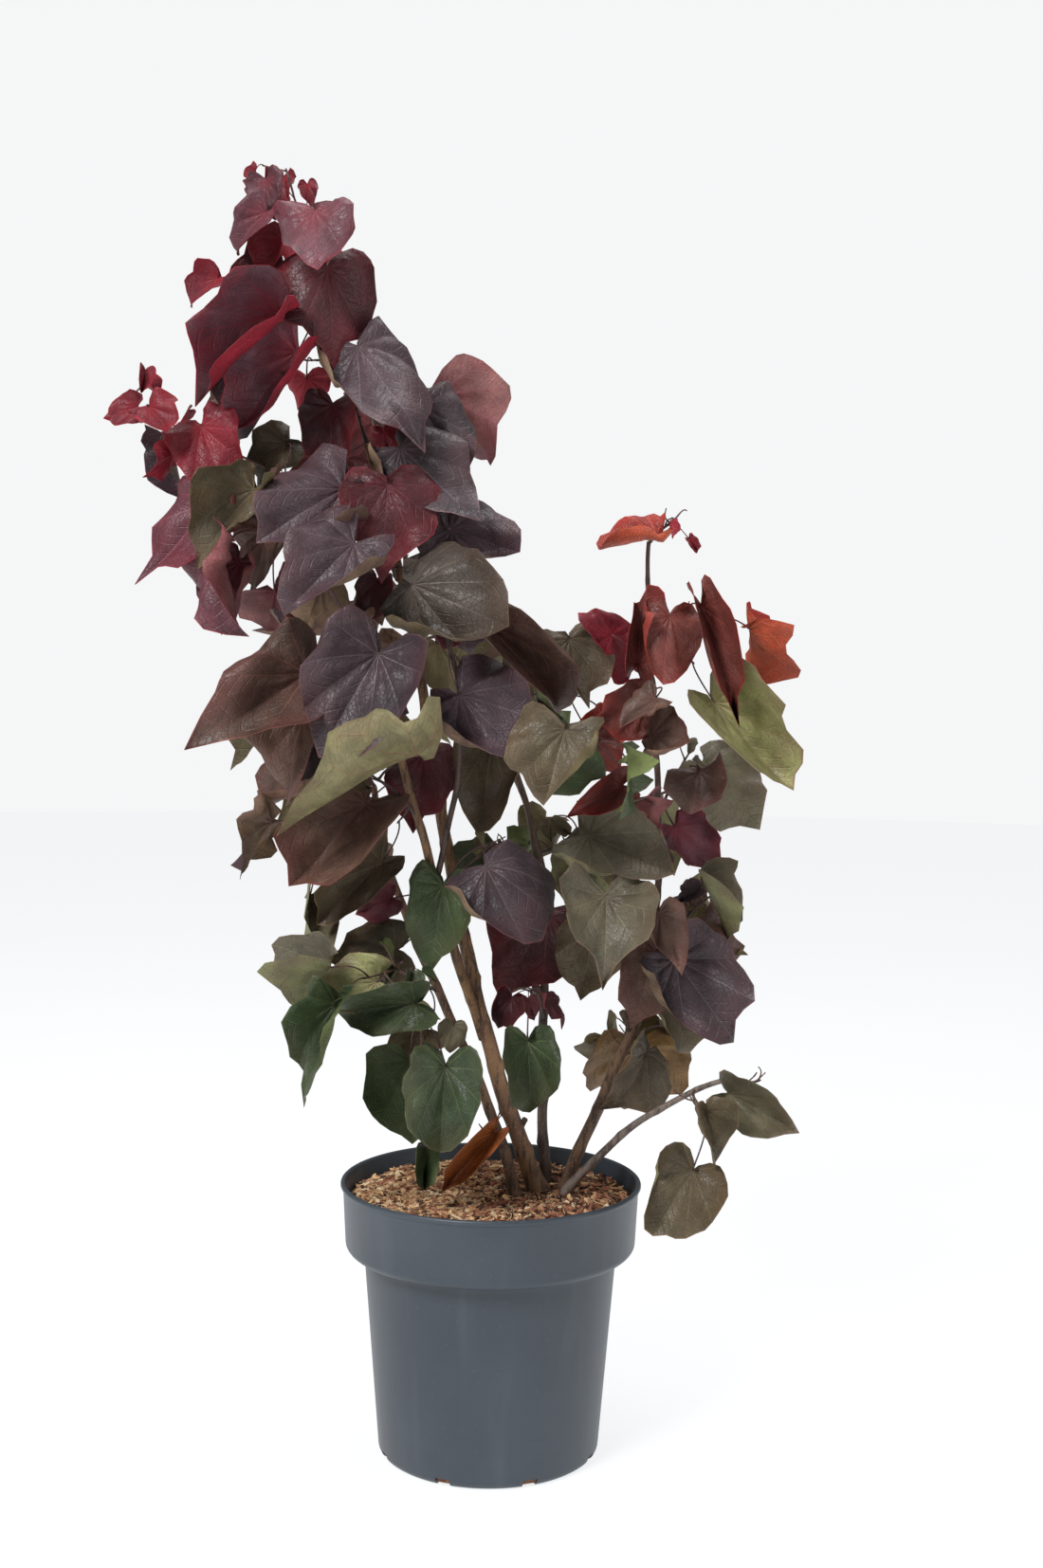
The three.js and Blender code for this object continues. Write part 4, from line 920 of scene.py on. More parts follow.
# %% Pot plastic
plastic = Finish("pot_plastic", Coat_Weight=0.06, Coat_Roughness=0.3)
where = plastic.place()
streaks = plastic.noise(plastic.place((1, 1, 0.12)), 34.0, 4.0)
clouds = plastic.noise(where, 7.0, 4.0)
dust = plastic.noise(where, 260.0, 2.0).step(0.62, 0.78)
scratches = plastic.noise(plastic.place((1, 1, 9)), 26.0, 2.0).step(0.66, 0.72)
colour = plastic.mix(clouds.step(0.3, 0.75), shade("363e47"), shade("404952"))
colour = plastic.mix(streaks.step(0.5, 0.8) * 0.35, colour, shade("525a62"))
colour = plastic.mix(dust * 0.22, colour, shade("6a7077"))
colour = plastic.mix(scratches * 0.16, colour, shade("2f353b"))
plastic.wear(colour=colour, rough=clouds * 0.16 + dust * 0.2 + 0.36,
             height=plastic.noise(where, 420.0, 2.0) * 0.25 + clouds, depth=0.0006, strength=0.35)
print("nodes of the plastic", len(plastic.tree.nodes))
add_piece("pot_shell", pot_mesh, [plastic.material], ["pot"])

# %% [markdown]
# ## Mulch
# The pot is topped with coarse bark and coir: loose chips and fibres over a lumpy bed. The bed
# is one closed body that fills the pot: a grid squeezed into a disc, raised into lumps, and
# extruded down inside the wall. Chips and fibres are too many to place by hand, so dice do it.

# %% Bed
rng = np.random.default_rng(71)
BED_RADIUS = 146.0
BED_FLAT = 92.0  # the bed falls to the wall outside this radius
BED_SUNK = 1.6  # below the solid's top, which the chips fill up
BED_GRID = 110
SOIL_EDGE = 258  # height of the bed at the wall
LUMP_HEIGHT = 4.2
LUMP_SCALE = 0.035
CALM_EDGE = 14  # width of the strip at the wall where the lumps are lower
CALM_LUMPS = 0.35  # their height right at the wall, as a share
FALL_SHAPE = 1.3  # how late the bed falls
BED_SKIRT = ((144.2, 230), (143.6, 219.5), (125.4, 212), (109.2, 3.4))  # radius and height


def bed_height(x, y):
    """Height of the bed's top, in millimetres."""
    radius = math.hypot(x, y)
    fall = min(1.0, max(0.0, (radius - BED_FLAT) / (BED_RADIUS - BED_FLAT)))
    lumps = noise.fractal(Vector((x, y, 0)) * LUMP_SCALE, 1.0, 2.0, 4) * LUMP_HEIGHT
    near_wall = min(1.0, max(0.0, (BED_RADIUS - radius) / CALM_EDGE))
    level = SOIL_TOP - BED_SUNK + (SOIL_EDGE - SOIL_TOP) * fall ** FALL_SHAPE
    return level + lumps * (CALM_LUMPS + (1 - CALM_LUMPS) * near_wall)


bed = bmesh.new()
bmesh.ops.create_grid(bed, x_segments=BED_GRID, y_segments=BED_GRID, size=1)
for vertex in bed.verts:
    x, y = vertex.co.x, vertex.co.y
    stretch = max(abs(x), abs(y)) / max(1e-9, math.hypot(x, y))
    x, y = x * stretch * BED_RADIUS, y * stretch * BED_RADIUS
    vertex.co = (x * MM, y * MM, bed_height(x, y) * MM)
loop = [edge for edge in bed.edges if edge.is_boundary]
for radius, height in BED_SKIRT:
    skirt = bmesh.ops.extrude_edge_only(bed, edges=loop)["geom"]
    loop = [item for item in skirt if isinstance(item, bmesh.types.BMEdge)]
    for vertex in {v for edge in loop for v in edge.verts}:
        flat = Vector((vertex.co.x, vertex.co.y)).normalized() * radius * MM
        vertex.co = (flat.x, flat.y, height * MM)
bmesh.ops.contextual_create(bed, geom=loop)
bmesh.ops.recalc_face_normals(bed, faces=bed.faces)
bed_finish = Finish("mulch_bed", Roughness=0.95)
where = bed_finish.place()
crumbs = bed_finish.cells(where, 240.0)
tone = bed_finish.noise(where, 60.0, 5.0)
colour = bed_finish.mix(tone.step(0.3, 0.7), shade("503526"), shade("8c5f40"))
colour = bed_finish.mix(bed_finish.noise(where, 150.0).step(0.55, 0.75), colour, shade("b98a5c"))
bed_finish.wear(colour=colour, height=crumbs + tone, depth=0.004, strength=0.9)
bed_mesh = finish_mesh(bed, "mulch_bed")
add_piece("mulch_bed", bed_mesh, [bed_finish.material], ["root_ball"])
print("bed faces", len(bed_mesh.polygons))

# %% Joined meshes from arrays


class Heap:
    """Many small shapes joined in one mesh: points, faces, and the material of each face."""

    def __init__(self):
        self.points = []
        self.faces = []
        self.kinds = []
        self.marks = []
        self.count = 0

    def put(self, points, faces, kinds, marks=None):
        """Adds a shape whose faces number its own points from 0."""
        base = self.count
        self.points.append(np.asarray(points, float))
        for face in faces:
            self.faces.append((np.asarray(face) + base).tolist())
        self.kinds.extend(kinds)
        if marks is not None:
            self.marks.append(marks)
        self.count += len(points)

    def mesh(self, name, smooth=True):
        """All the shapes as one mesh, in metres."""
        mesh = bpy.data.meshes.new(name)
        mesh.from_pydata(np.concatenate(self.points) * MM, [], self.faces)
        mesh.polygons.foreach_set("material_index", self.kinds)
        mesh.shade_smooth() if smooth else mesh.shade_flat()
        mesh.update()
        triangles = sum(len(face) - 2 for face in self.faces)
        print(name, "triangles", triangles)
        return mesh


def tube(heap, points, radii, sides, kind=0):
    """A round rod along points, closed at both ends."""
    ways = np.gradient(points, axis=0)
    ways /= np.linalg.norm(ways, axis=1)[:, None]
    side = np.cross(ways[0], (0.31, 0.88, 0.36))
    rings = []
    angles = np.arange(sides) * math.tau / sides
    for point, way, radius in zip(points, ways, radii):
        side = side - way * side.dot(way)
        side /= np.linalg.norm(side)
        up = np.cross(way, side)
        ring = np.cos(angles)[:, None] * side + np.sin(angles)[:, None] * up
        rings.append(point + ring * radius)
    corners = np.concatenate([*rings, points[[0]], points[[-1]]])
    count = len(points)
    faces = []
    for step in range(count - 1):
        for k in range(sides):
            a, b = step * sides + k, step * sides + (k + 1) % sides
            faces.append((a, b, b + sides, a + sides))
    first, last = count * sides, count * sides + 1
    for k in range(sides):
        after = (k + 1) % sides
        faces.append((first, after, k))
        faces.append((last, (count - 1) * sides + k, (count - 1) * sides + after))
    heap.put(corners, faces, [kind] * len(faces))


# %% Places and tones of the mulch
# pale tan, tan, brown, red-brown, straw and dark
MULCH_TONES = ("e6bd8c", "c49470", "966448", "a06650", "f0d6b0", "543a2e")
TAN_FADE = 40  # millimetres to the right over which the mulch turns from tan to red-brown
# painted shade among the stems: the middle of the spot where dark chips gather, and its spread
PAINTED_SHADE_AT, PAINTED_SHADE_SPREAD = 50, 2400
STEM_FEET = [np.array(plan["course"][0][:2]) for plan in LIMBS.values() if "flare" in plan]
FOOT_GAP = 11  # from the middle of a stem's foot to the nearest chip


def mulch_spot(reach):
    """A random place on the bed, clear of the stems' feet."""
    while True:
        angle, radius = rng.uniform(0, math.tau), reach * math.sqrt(rng.uniform())
        spot = np.array((math.cos(angle), math.sin(angle))) * radius
        if min(np.linalg.norm(spot - foot) for foot in STEM_FEET) > FOOT_GAP:
            return spot


def mulch_tone(spot):
    """A tone from the dice: tan at the left, redder at the right, and more dark chips among the stems
    as painted shade.
    """
    x, y = spot
    # painted shade: the odds of a dark chip rise among the stems
    dark = math.exp(-((x - PAINTED_SHADE_AT) ** 2 + y ** 2) / PAINTED_SHADE_SPREAD)
    tan = 1 / (1 + math.exp(x / TAN_FADE))
    red = 1 - tan
    odds = np.array((0.8 + 1.6 * tan, 1.3, 0.7, 0.5 + 1.3 * red, 0.4 + 0.7 * tan,
                     0.6 + 2.8 * dark + 0.8 * red))
    return int(rng.choice(len(MULCH_TONES), p=odds / odds.sum()))


# %% Chips and fibres
CHIPS = 2900
FIBRES = 1500
CHIP_REACH = 141
FIBRE_REACH = 136
FIBRE_LIMIT = 143  # a fibre that would pass this radius is left out
CHIP_CORNERS = [(x, y, z) for z in (-0.5, 0.5) for y in (-0.5, 0.5) for x in (-0.5, 0.5)]
CHIP_FACES = ((0, 1, 3, 2), (4, 6, 7, 5), (0, 4, 5, 1), (2, 3, 7, 6), (0, 2, 6, 4), (1, 5, 7, 3))
FIBRE_POINTS = 6
chips, fibres = Heap(), Heap()


def add_chip():
    """A flat splinter: a box with uneven corners, tilted a little and laid on the bed."""
    spot = mulch_spot(CHIP_REACH)
    length = rng.uniform(3.5, 15) * rng.uniform(0.6, 1.2)
    size = np.array((length, rng.uniform(1.6, 5), rng.uniform(0.7, 2.2)))
    box = (CHIP_CORNERS + rng.uniform(-0.13, 0.13, (8, 3))) * size
    tilt = Matrix.Rotation(rng.uniform(0, math.tau), 3, "Z")
    tilt = tilt @ Matrix.Rotation(rng.normal(0, 0.34), 3, "Y")
    tilt = tilt @ Matrix.Rotation(rng.normal(0, 0.4), 3, "X")
    lift = bed_height(*spot) + rng.uniform(-0.4, 1.9)
    corners = box @ np.array(tilt.transposed()) + (*spot, lift)
    chips.put(corners, CHIP_FACES, [mulch_tone(spot)] * len(CHIP_FACES))


def add_fibre():
    """A thin bowed thread that lies along the bed, some with their middle raised."""
    spot = mulch_spot(FIBRE_REACH)
    length, heading, bow = rng.uniform(9, 34), rng.uniform(0, math.tau), rng.normal(0, 0.9)
    share = np.linspace(-0.5, 0.5, FIBRE_POINTS)
    headings = heading + bow * share
    xs = spot[0] + np.cumsum(np.cos(headings)) * length / FIBRE_POINTS
    ys = spot[1] + np.cumsum(np.sin(headings)) * length / FIBRE_POINTS
    if np.hypot(xs, ys).max() > FIBRE_LIMIT:
        return
    rise = rng.uniform(0.2, 4.5) if rng.uniform() < 0.3 else rng.uniform(0, 1)
    zs = [bed_height(x, y) + 1.1 + rise * math.cos(s * 3) for x, y, s in zip(xs, ys, share)]
    radii = [rng.uniform(0.22, 0.5)] * FIBRE_POINTS
    tube(fibres, np.stack((xs, ys, zs), axis=1), radii, sides=3, kind=mulch_tone(spot))


for _ in range(CHIPS):
    add_chip()
for _ in range(FIBRES):
    add_fibre()

# %% Mulch finishes


def mulch_finish(code):
    """Dry bark of one tone, with a grain along it."""
    finish = Finish("mulch_" + code, Roughness=0.9)
    where = finish.place()
    grain = finish.noise(finish.place((1, 1, 3)), 180.0, 4.0)
    colour = finish.mix(grain.step(0.25, 0.75), shade(code, 0.72), shade(code, 1.12))
    rough_grain = grain + finish.noise(where, 900.0)
    return finish.wear(colour=colour, height=rough_grain, depth=0.001, strength=0.6)


mulch_materials = [mulch_finish(code) for code in MULCH_TONES]
add_piece("mulch_chips", chips.mesh("mulch_chips", smooth=False), mulch_materials)
add_piece("mulch_fibres", fibres.mesh("mulch_fibres"), mulch_materials)

# %% [markdown]
# ## Stems and boughs
# Redbud wood is smooth and tan-brown when it is a few years old, purple-brown when it is new. It
# swells at each node, where a leaf stood, and runs in a slight zigzag from node to node. A curve
# with a bevel would give a plain round rod, so each limb is a chain of bridged rings instead,
# whose swellings and ridges are real relief.

# %% Limb meshes
LIMB_SIDES = 18
LIMB_STEP = 5.0
FEWEST_STEPS = 8
COURSE_SAMPLES = 400
NODE_SPACING = 46.0
NODE_WIDTH = 5.0
NODE_SWELL = 0.20  # as a share of the radius, as the ridges and ribs are
RIDGES = 0.05
RIDGES_ROUND, RIDGES_ALONG = 1.4, 0.022  # scales of the noise that makes them
RIBS = 0.10
RIB_REACH = 14  # height over which the ribs at a stem's foot die away
FAR_UP = 99  # stands for the height of a bough, which has no ribs
ZIGZAG = 0.7


def limb_radius(plan, share, rise):
    """The plain radius at a share of the course, with the flare of the foot."""
    thick, thin = plan["radius"]
    flare = plan.get("flare", 0) * math.exp(-max(rise, 0) / FLARE_REACH)
    return thick + (thin - thick) * share + flare


def limb_frames(plan):
    """Points at even steps along a limb, with two sides, arc length and plain radius."""
    shares = np.linspace(0, 1, COURSE_SAMPLES)
    points = course_points(plan["course"], shares)
    arcs = np.concatenate(([0], np.cumsum(np.linalg.norm(np.diff(points, axis=0), axis=1))))
    steps = max(FEWEST_STEPS, int(arcs[-1] / LIMB_STEP))
    at = np.linspace(0, arcs[-1], steps + 1)
    shares = np.interp(at, arcs, shares)
    points = course_points(plan["course"], shares)
    ways = np.gradient(points, axis=0)
    ways /= np.linalg.norm(ways, axis=1)[:, None]
    side = np.cross(ways[0], (0.2, 1, 0.1))
    rows = []
    for point, way, share, reach in zip(points, ways, shares, at):
        side = side - way * side.dot(way)
        side /= np.linalg.norm(side)
        rise = point[2] - points[0][2]
        rows.append((point, side, np.cross(way, side), reach, limb_radius(plan, share, rise)))
    return rows


def limb_relief(reach, angle, radius, seed, rise):
    """How far the bark stands out of the plain radius: nodes, ridges, and ribs at the foot."""
    node = round(reach / NODE_SPACING)
    off = (reach - node * NODE_SPACING) / NODE_WIDTH
    facing = 0.5 + 0.5 * math.cos(angle - node * math.pi - seed)
    swell = NODE_SWELL * math.exp(-off * off) * (0.35 + facing ** 3) if node > 0 else 0
    x, y = math.cos(angle) * RIDGES_ROUND + seed, math.sin(angle) * RIDGES_ROUND
    ridges = RIDGES * noise.fractal(Vector((x, y, reach * RIDGES_ALONG)), 1.0, 2.0, 3)
    ribs = RIBS * math.cos(3 * angle + seed) * math.exp(-rise / RIB_REACH)
    return radius * (1 + swell + ridges + ribs)


def limb_form(plan, seed):
    """A limb as bridged rings, closed at both ends."""
    form = bmesh.new()
    last = None
    rows = limb_frames(plan)
    foot = rows[0][0][2]
    for point, side, up, reach, radius in rows:
        rise = point[2] - foot if "flare" in plan else FAR_UP
        middle = point + side * ZIGZAG * math.sin(reach * math.pi / NODE_SPACING + seed)
        ring = bmesh.ops.create_circle(form, radius=1, segments=LIMB_SIDES)["verts"]
        for k, vertex in enumerate(ring):
            angle = k * math.tau / LIMB_SIDES
            out = limb_relief(reach, angle, radius, seed, rise)
            spoke = side * math.cos(angle) + up * math.sin(angle)
            vertex.co = Vector((middle + spoke * out) * MM)
        edges = list({edge for vertex in ring for edge in vertex.link_edges})
        if last:
            bmesh.ops.bridge_loops(form, edges=last + edges)
        last = edges
    bmesh.ops.holes_fill(form, edges=form.edges, sides=LIMB_SIDES)
    bmesh.ops.recalc_face_normals(form, faces=form.faces)
    return form


# %% [markdown]
# ## Bark
# Young bark is smooth. Its two tones run along the limb in fine streaks, and pale dots lie over
# them, the lenticels that the wood breathes through. The limbs are nearly upright, so noise that
# is stretched along Z gives the streaks. The dots come from the cells of a Voronoi texture.

# %% Bark finishes


def bark_finish(name, old, new, streak, pale):
    """Bark in two tones that run along the limb, with pale lenticels."""
    finish = Finish(name, Coat_Weight=0.05)
    along = finish.noise(finish.place((1, 1, 0.16)), 210.0, 5.0)
    broad = finish.noise(finish.place(), 22.0, 4.0)
    dots = 1 - finish.cells(finish.place((1, 1, 0.8)), 330.0).step(0.16, 0.3)
    flakes = finish.noise(finish.place((1, 1, 0.4)), 620.0, 3.0)
    colour = finish.mix(broad.step(0.3, 0.7), shade(old, 0.8), shade(new, 1.1))
    colour = finish.mix(along.step(0.46, 0.62) * 0.85, colour, shade(streak, 0.8))
    colour = finish.mix(dots * 0.5, colour, shade(pale))
    return finish.wear(colour=colour, rough=along * 0.2 + 0.52,
                       height=along + flakes * 0.5 + dots * 0.8, depth=0.0009, strength=0.7)


BARKS = {
    # old wood, new wood, streaks and lenticels
    "main_stem": ("7d5a44", "92704f", "4f3a2e", "b09478"),
    "side_bough": ("7e5c42", "92704c", "523c2e", "b09676"),
    "left_stem": ("6e5240", "84644c", "4c382e", "a08a72"),
    "right_stem": ("6c5240", "80624a", "4a382e", "a08a72"),
    "low_stem": ("6d6058", "7f7066", "524641", "a09488"),
    "centre_stem": ("4e3f37", "5f4c40", "382c28", "857468"),
    "fork_bough": ("4a3a36", "5c463d", "352828", "7e6a60"),
    "right_bough": ("5b453f", "6c524a", "402f2d", "8c766c"),
    "back_bough": ("54443a", "655246", "3c302b", "88766a"),
}
PALE_BARK = ("main_stem", "side_bough", "left_stem", "right_stem")
SEED_STEP = 1.7  # between the seeds of two limbs' relief
for place, (name, plan) in enumerate(LIMBS.items()):
    piece = name + "_bark"
    mesh = finish_mesh(limb_form(plan, place * SEED_STEP), piece)
    slot = "bark" if name in PALE_BARK else "dark_bark"
    add_piece(piece, mesh, [bark_finish(piece, *BARKS[name])], [name])
print("limbs", len(LIMBS))

# %% Pruned stubs
# Three shoots were cut back where they forked, and each left a short stub with a flat end.
STUBS = (
    # foot, way, length and radius
    ((49, 50, 452), (-0.35, -0.5, 1), 20, 4.4),
    ((142, 16, 428), (-0.5, -0.3, 1), 24, 4.0),
    ((30, 6, 330), (0.5, -0.4, 1), 10, 3.2),
)
STUB_SHARES = np.array((0, 0.3, 0.7, 0.96, 1.0))
STUB_WIDTHS = np.array((1.1, 1, 0.96, 1.0, 0.86))
stubs = Heap()
for foot, way, length, radius in STUBS:
    way = np.array(way) / np.linalg.norm(way)
    course = np.array(foot) + way * length * STUB_SHARES[:, None]
    tube(stubs, course, radius * STUB_WIDTHS, sides=12)
stub_finish = bark_finish("stub_bark", "4e3f37", "66503f", "382c28", "97836c")
add_piece("pruned_stubs", stubs.mesh("pruned_stubs"), [stub_finish])

# %% [markdown]
# ## Leaves
# A redbud leaf is a heart with main veins that fan out from its stalk. The blade bulges between
# the veins, its margin is wavy, and its under side is paler. Each blade is a fan of spokes with a
# pair of spokes along each vein, bent by the rule and closed by a thin rim. There are too many
# leaves to shape one by one, so all share the same faces and only their points are worked out.

# %% Fan of spokes
VEINS = (0, 27, 56, 90, 128)  # degrees from the tip
VEIN_WIDTH = 0.0075  # half of it at the stalk, as a share of the blade's length
VEIN_TAPER = 0.7
WIDEST_VEIN = 0.12  # radians, near the stalk where the spokes meet
RINGS = np.array((0.07, 0.15, 0.24, 0.33, 0.42, 0.51, 0.60, 0.69, 0.78, 0.86, 0.93, 0.984, 1.0))
CORNERS = (10, 27, 42, 56, 72, 90, 108, 128, 180)


def half_fan():
    """Spokes from the tip round to the sinus: angle, edge of a vein, and bulge."""
    spokes = [(0, 1, 0)]
    for before, after in zip(VEINS, VEINS[1:]):
        spokes += [(before + (after - before) * f, 0, 0.87) for f in (1 / 3, 2 / 3)]
        spokes += [(after, -1, 0), (after, 1, 0)]
    return spokes + [(142, 0, 0.5), (160, 0, 0.3)]


right_half = half_fan()
left_half = [(-angle, -edge, bulge) for angle, edge, bulge in right_half]
FAN = [*reversed(left_half), *right_half, (180, 0, 0)]
FAN_DEGREES, FAN_EDGE, FAN_BULGE = (np.array(column) for column in zip(*FAN))
FAN_ANGLE = np.radians(FAN_DEGREES)
FAN_REACH = np.interp(np.abs(FAN_DEGREES), *zip(*SMOOTH_HEART))
CORNER_ANGLES = (*(-angle for angle in reversed(CORNERS)), 0, *CORNERS)
VEIN_GAP = [FAN[k][1] == -1 and FAN[(k + 1) % len(FAN)][1] == 1 for k in range(len(FAN))]
UPPER, UPPER_TOO, UNDER, VEIN, UNDER_VEIN, RIM = range(6)
print("spokes", len(FAN), "rings", len(RINGS))

# %% Points of a blade
# Heights are shares of the blade's length, and ripples of the outline are shares of its reach.
CORNER_SWING = 0.10
OUTLINE_RIPPLE, OUTLINE_WAVES = 0.022, 9
SLOW_WAVE, SLOW_COUNTS = 0.14, (3, 6)  # of the margin, with how many go round it
QUICK_WAVE, QUICK_COUNTS = 0.06, (7, 11)
BULGE, BULGE_WAVE = 0.026, 0.010  # between two veins
CRUMPLE = 0.034
DROOP = 0.04  # of both sides
TIP_FROM = 0.75  # where the tip begins to bend, as a share
LEAST_ROLL = 0.01  # radians, so that nothing is divided by zero


def rolled_margin(leaf, shares, reach):
    """How far out and how far up the rings lie once the leaf's margins have rolled over."""
    rolls = ((leaf["rolled_at"], leaf["rolled"]), (-leaf["rolled_at"], leaf["rolled_too"]))
    rolled = sum(np.exp(-((FAN_DEGREES - at) / leaf["rolled_over"]) ** 2) * by for at, by in rolls)
    rolled = np.where(np.abs(rolled) < LEAST_ROLL, LEAST_ROLL, rolled)
    flat_to = leaf["flat_to"]
    excess = np.clip((shares - flat_to) / (1 - flat_to), 0, 1)
    band = reach * (1 - flat_to)
    out = np.minimum(shares, flat_to) * reach + band * np.sin(rolled * excess) / rolled
    return out, band * (1 - np.cos(rolled * excess)) / rolled


def blade_relief(leaf, waves, margin, shares, flat, side, ahead):
    """How far the blade stands off its plain bend: waves, bulges, creases, twist and pinch."""
    pillow = BULGE + BULGE_WAVE * np.sin(shares * 26 + waves[4])
    bulge = FAN_BULGE * pillow * np.sin(math.pi * shares) ** 0.6
    creases = CRUMPLE * np.sin(flat[0] * 12 + waves[0]) * np.sin(flat[1] * 10 + waves[5])
    tip_bend = leaf["tip_bend"] * np.clip((ahead - TIP_FROM) / (1 - TIP_FROM), 0, 1) ** 2
    droop = DROOP * np.abs(np.sin(FAN_ANGLE))
    twist = leaf["twist"] * side * ahead
    pinch = leaf["pinch"] * np.abs(side)
    return (margin - droop) * shares ** 2 + bulge + (creases + pinch) * shares + tip_bend + twist


def blade_grid(leaf, dice):
    """The blade's middle surface as rings by spokes: flat places, and bent points."""
    waves = dice.uniform(0, math.tau, 6)
    counts = dice.integers(*SLOW_COUNTS), dice.integers(*QUICK_COUNTS)
    swing = dice.uniform(0.5, 1.0) * leaf["ruffle"]
    slow = SLOW_WAVE * np.sin(counts[0] * FAN_ANGLE + waves[2])
    quick = QUICK_WAVE * np.sin(counts[1] * FAN_ANGLE + waves[3])
    corners = 1 + CORNER_SWING * dice.uniform(-1, 1, len(CORNER_ANGLES))
    ripple = 1 + OUTLINE_RIPPLE * np.sin(OUTLINE_WAVES * FAN_ANGLE + waves[1])
    reach = FAN_REACH * np.interp(FAN_DEGREES, CORNER_ANGLES, corners) * ripple
    shares = RINGS[:, None]
    width = VEIN_WIDTH * (1 - VEIN_TAPER * shares)
    angle = FAN_ANGLE + FAN_EDGE * np.minimum(width / (shares * reach), WIDEST_VEIN)
    out, up = rolled_margin(leaf, shares, reach)
    side, ahead = out * np.sin(angle), out * np.cos(angle)
    side[:, -1] = 0  # the last spoke runs into the sinus, on the rib
    flat = shares * reach * np.sin(angle), shares * reach * np.cos(angle)
    margin = swing * (slow + quick)
    lifted = up + blade_relief(leaf, waves, margin, shares, flat, side, ahead)
    points = blade_points(leaf, side.ravel(), ahead.ravel(), lifted.ravel())
    return *flat, points.reshape(len(RINGS), len(FAN), 3)


# %% Faces of a blade
BLADE_HALF = 0.17  # half of the blade's thickness, in millimetres


def side_faces():
    """Faces of the upper side, numbered from 0 at the stalk, with a mark for vein or rim."""
    count = len(FAN)
    gaps = ["vein" if gap else "" for gap in VEIN_GAP]
    faces = [(0, 1 + k, 1 + (k + 1) % count) for k in range(count)]
    marks = list(gaps)
    for ring in range(len(RINGS) - 1):
        last = ring == len(RINGS) - 2
        for k in range(count):
            a, b = 1 + ring * count + k, 1 + ring * count + (k + 1) % count
            faces += [(a, a + count, b + count), (a, b + count, b)]
            marks += ["rim" if last else gaps[k]] * 2
    return faces, marks


SIDE_FACES, SIDE_MARKS = side_faces()
SIDE_COUNT = 1 + len(RINGS) * len(FAN)
UNDER_FACES = [tuple(SIDE_COUNT + v for v in reversed(face)) for face in SIDE_FACES]
MARGIN = range(SIDE_COUNT - len(FAN), SIDE_COUNT)
AFTER = [*MARGIN[1:], MARGIN[0]]
RIM_FACES = [(a, a + SIDE_COUNT, b + SIDE_COUNT, b) for a, b in zip(MARGIN, AFTER)]
BLADE_FACES = SIDE_FACES + UNDER_FACES + RIM_FACES
UPPER_KINDS = {"": UPPER, "vein": VEIN, "rim": RIM}
UNDER_KINDS = {"": UNDER, "vein": UNDER_VEIN, "rim": UNDER}


def add_blade(heap, leaf, dice):
    """Puts a blade with two sides and a rim on the heap, with its marks for the finish."""
    side, ahead, grid = blade_grid(leaf, dice)
    along = np.gradient(grid, axis=0)
    around = np.roll(grid, -1, axis=1) - np.roll(grid, 1, axis=1)
    normal = np.cross(along, around)
    normal /= np.maximum(np.linalg.norm(normal, axis=2), 1e-9)[:, :, None]
    middle = np.concatenate((leaf["at"][None], grid.reshape(-1, 3)))
    normals = np.concatenate((leaf["frame"][1][None], normal.reshape(-1, 3)))
    upper = {**UPPER_KINDS, "": UPPER_TOO if leaf["shade"] else UPPER}
    kinds = [upper[mark] for mark in SIDE_MARKS] + [UNDER_KINDS[mark] for mark in SIDE_MARKS]
    kinds += [RIM] * len(RIM_FACES)
    columns = side.ravel(), ahead.ravel(), np.repeat(RINGS, len(FAN))
    flat = np.stack([np.append(0, column) for column in columns], axis=1)
    points = np.concatenate((middle + normals * BLADE_HALF, middle - normals * BLADE_HALF))
    heap.put(points, BLADE_FACES, kinds, np.concatenate((flat, flat)))


print("faces of a blade", len(BLADE_FACES))

# %% [markdown]
# ## The skin of a leaf
# A leaf is mottled, redder along its margin and where its veins meet, and finely netted. Each
# blade carries a UV map with its own flat heart, so what is drawn on the heart follows every
# bend: arcs of side veins between the main ones, and a Voronoi net. Both are sunk on the upper
# side and raised on the under side.

# %% Leaf finishes
LEAF_TINTS = {
    # upper, upper too, under, vein, under vein, rim
    "crimson": ("7c2331", "6c1321", "9f2436", "8e283a", "b03b48", "a01626"),
    "orange": ("a7210f", "8f1d0e", "bc5439", "b84830", "c87246", "b0331d"),
    "rust": ("ab5b21", "924c1e", "ab753e", "b87c43", "9c6639", "7c4021"),
    "mauve": ("663b44", "562e38", "8a5a56", "80404a", "94505a", "8a2c3a"),
    "burgundy": ("3f0b13", "330910", "6e2f2f", "5a242d", "8c404b", "841c28"),
    "slate": ("44333a", "372a30", "7c664e", "584a50", "7c5450", "603c40"),
    "brown": ("61493c", "503a30", "8a6e58", "704a42", "8a4242", "743e38"),
    "olive": ("584d37", "493f2e", "827c56", "665a42", "84664a", "70563c"),
    "green": ("3f5030", "334229", "6d7b43", "55623b", "747853", "5a5a3a"),
    "sage": ("706a52", "605a48", "8b8b60", "747058", "848068", "7a6451"),
    "wine": ("603e47", "54343d", "9b1c30", "7c3542", "a83145", "9a1f30"),
    "russet": ("6c3831", "5a2c27", "974032", "863f34", "a04338", "9a281f"),
    "tan": ("9a7846", "8b6c39", "a38751", "9c6846", "9c5941", "7c5537"),
    # a darker copy of olive, painted shade for an olive leaf that bends far back
    "dusk": ("3c332c", "322b26", "7c6c50", "52483c", "7c5c48", "5a4636"),
    "pale": ("9d9f6b", "8e915f", "a2a773", "a89274", "a88174", "987e64"),
}


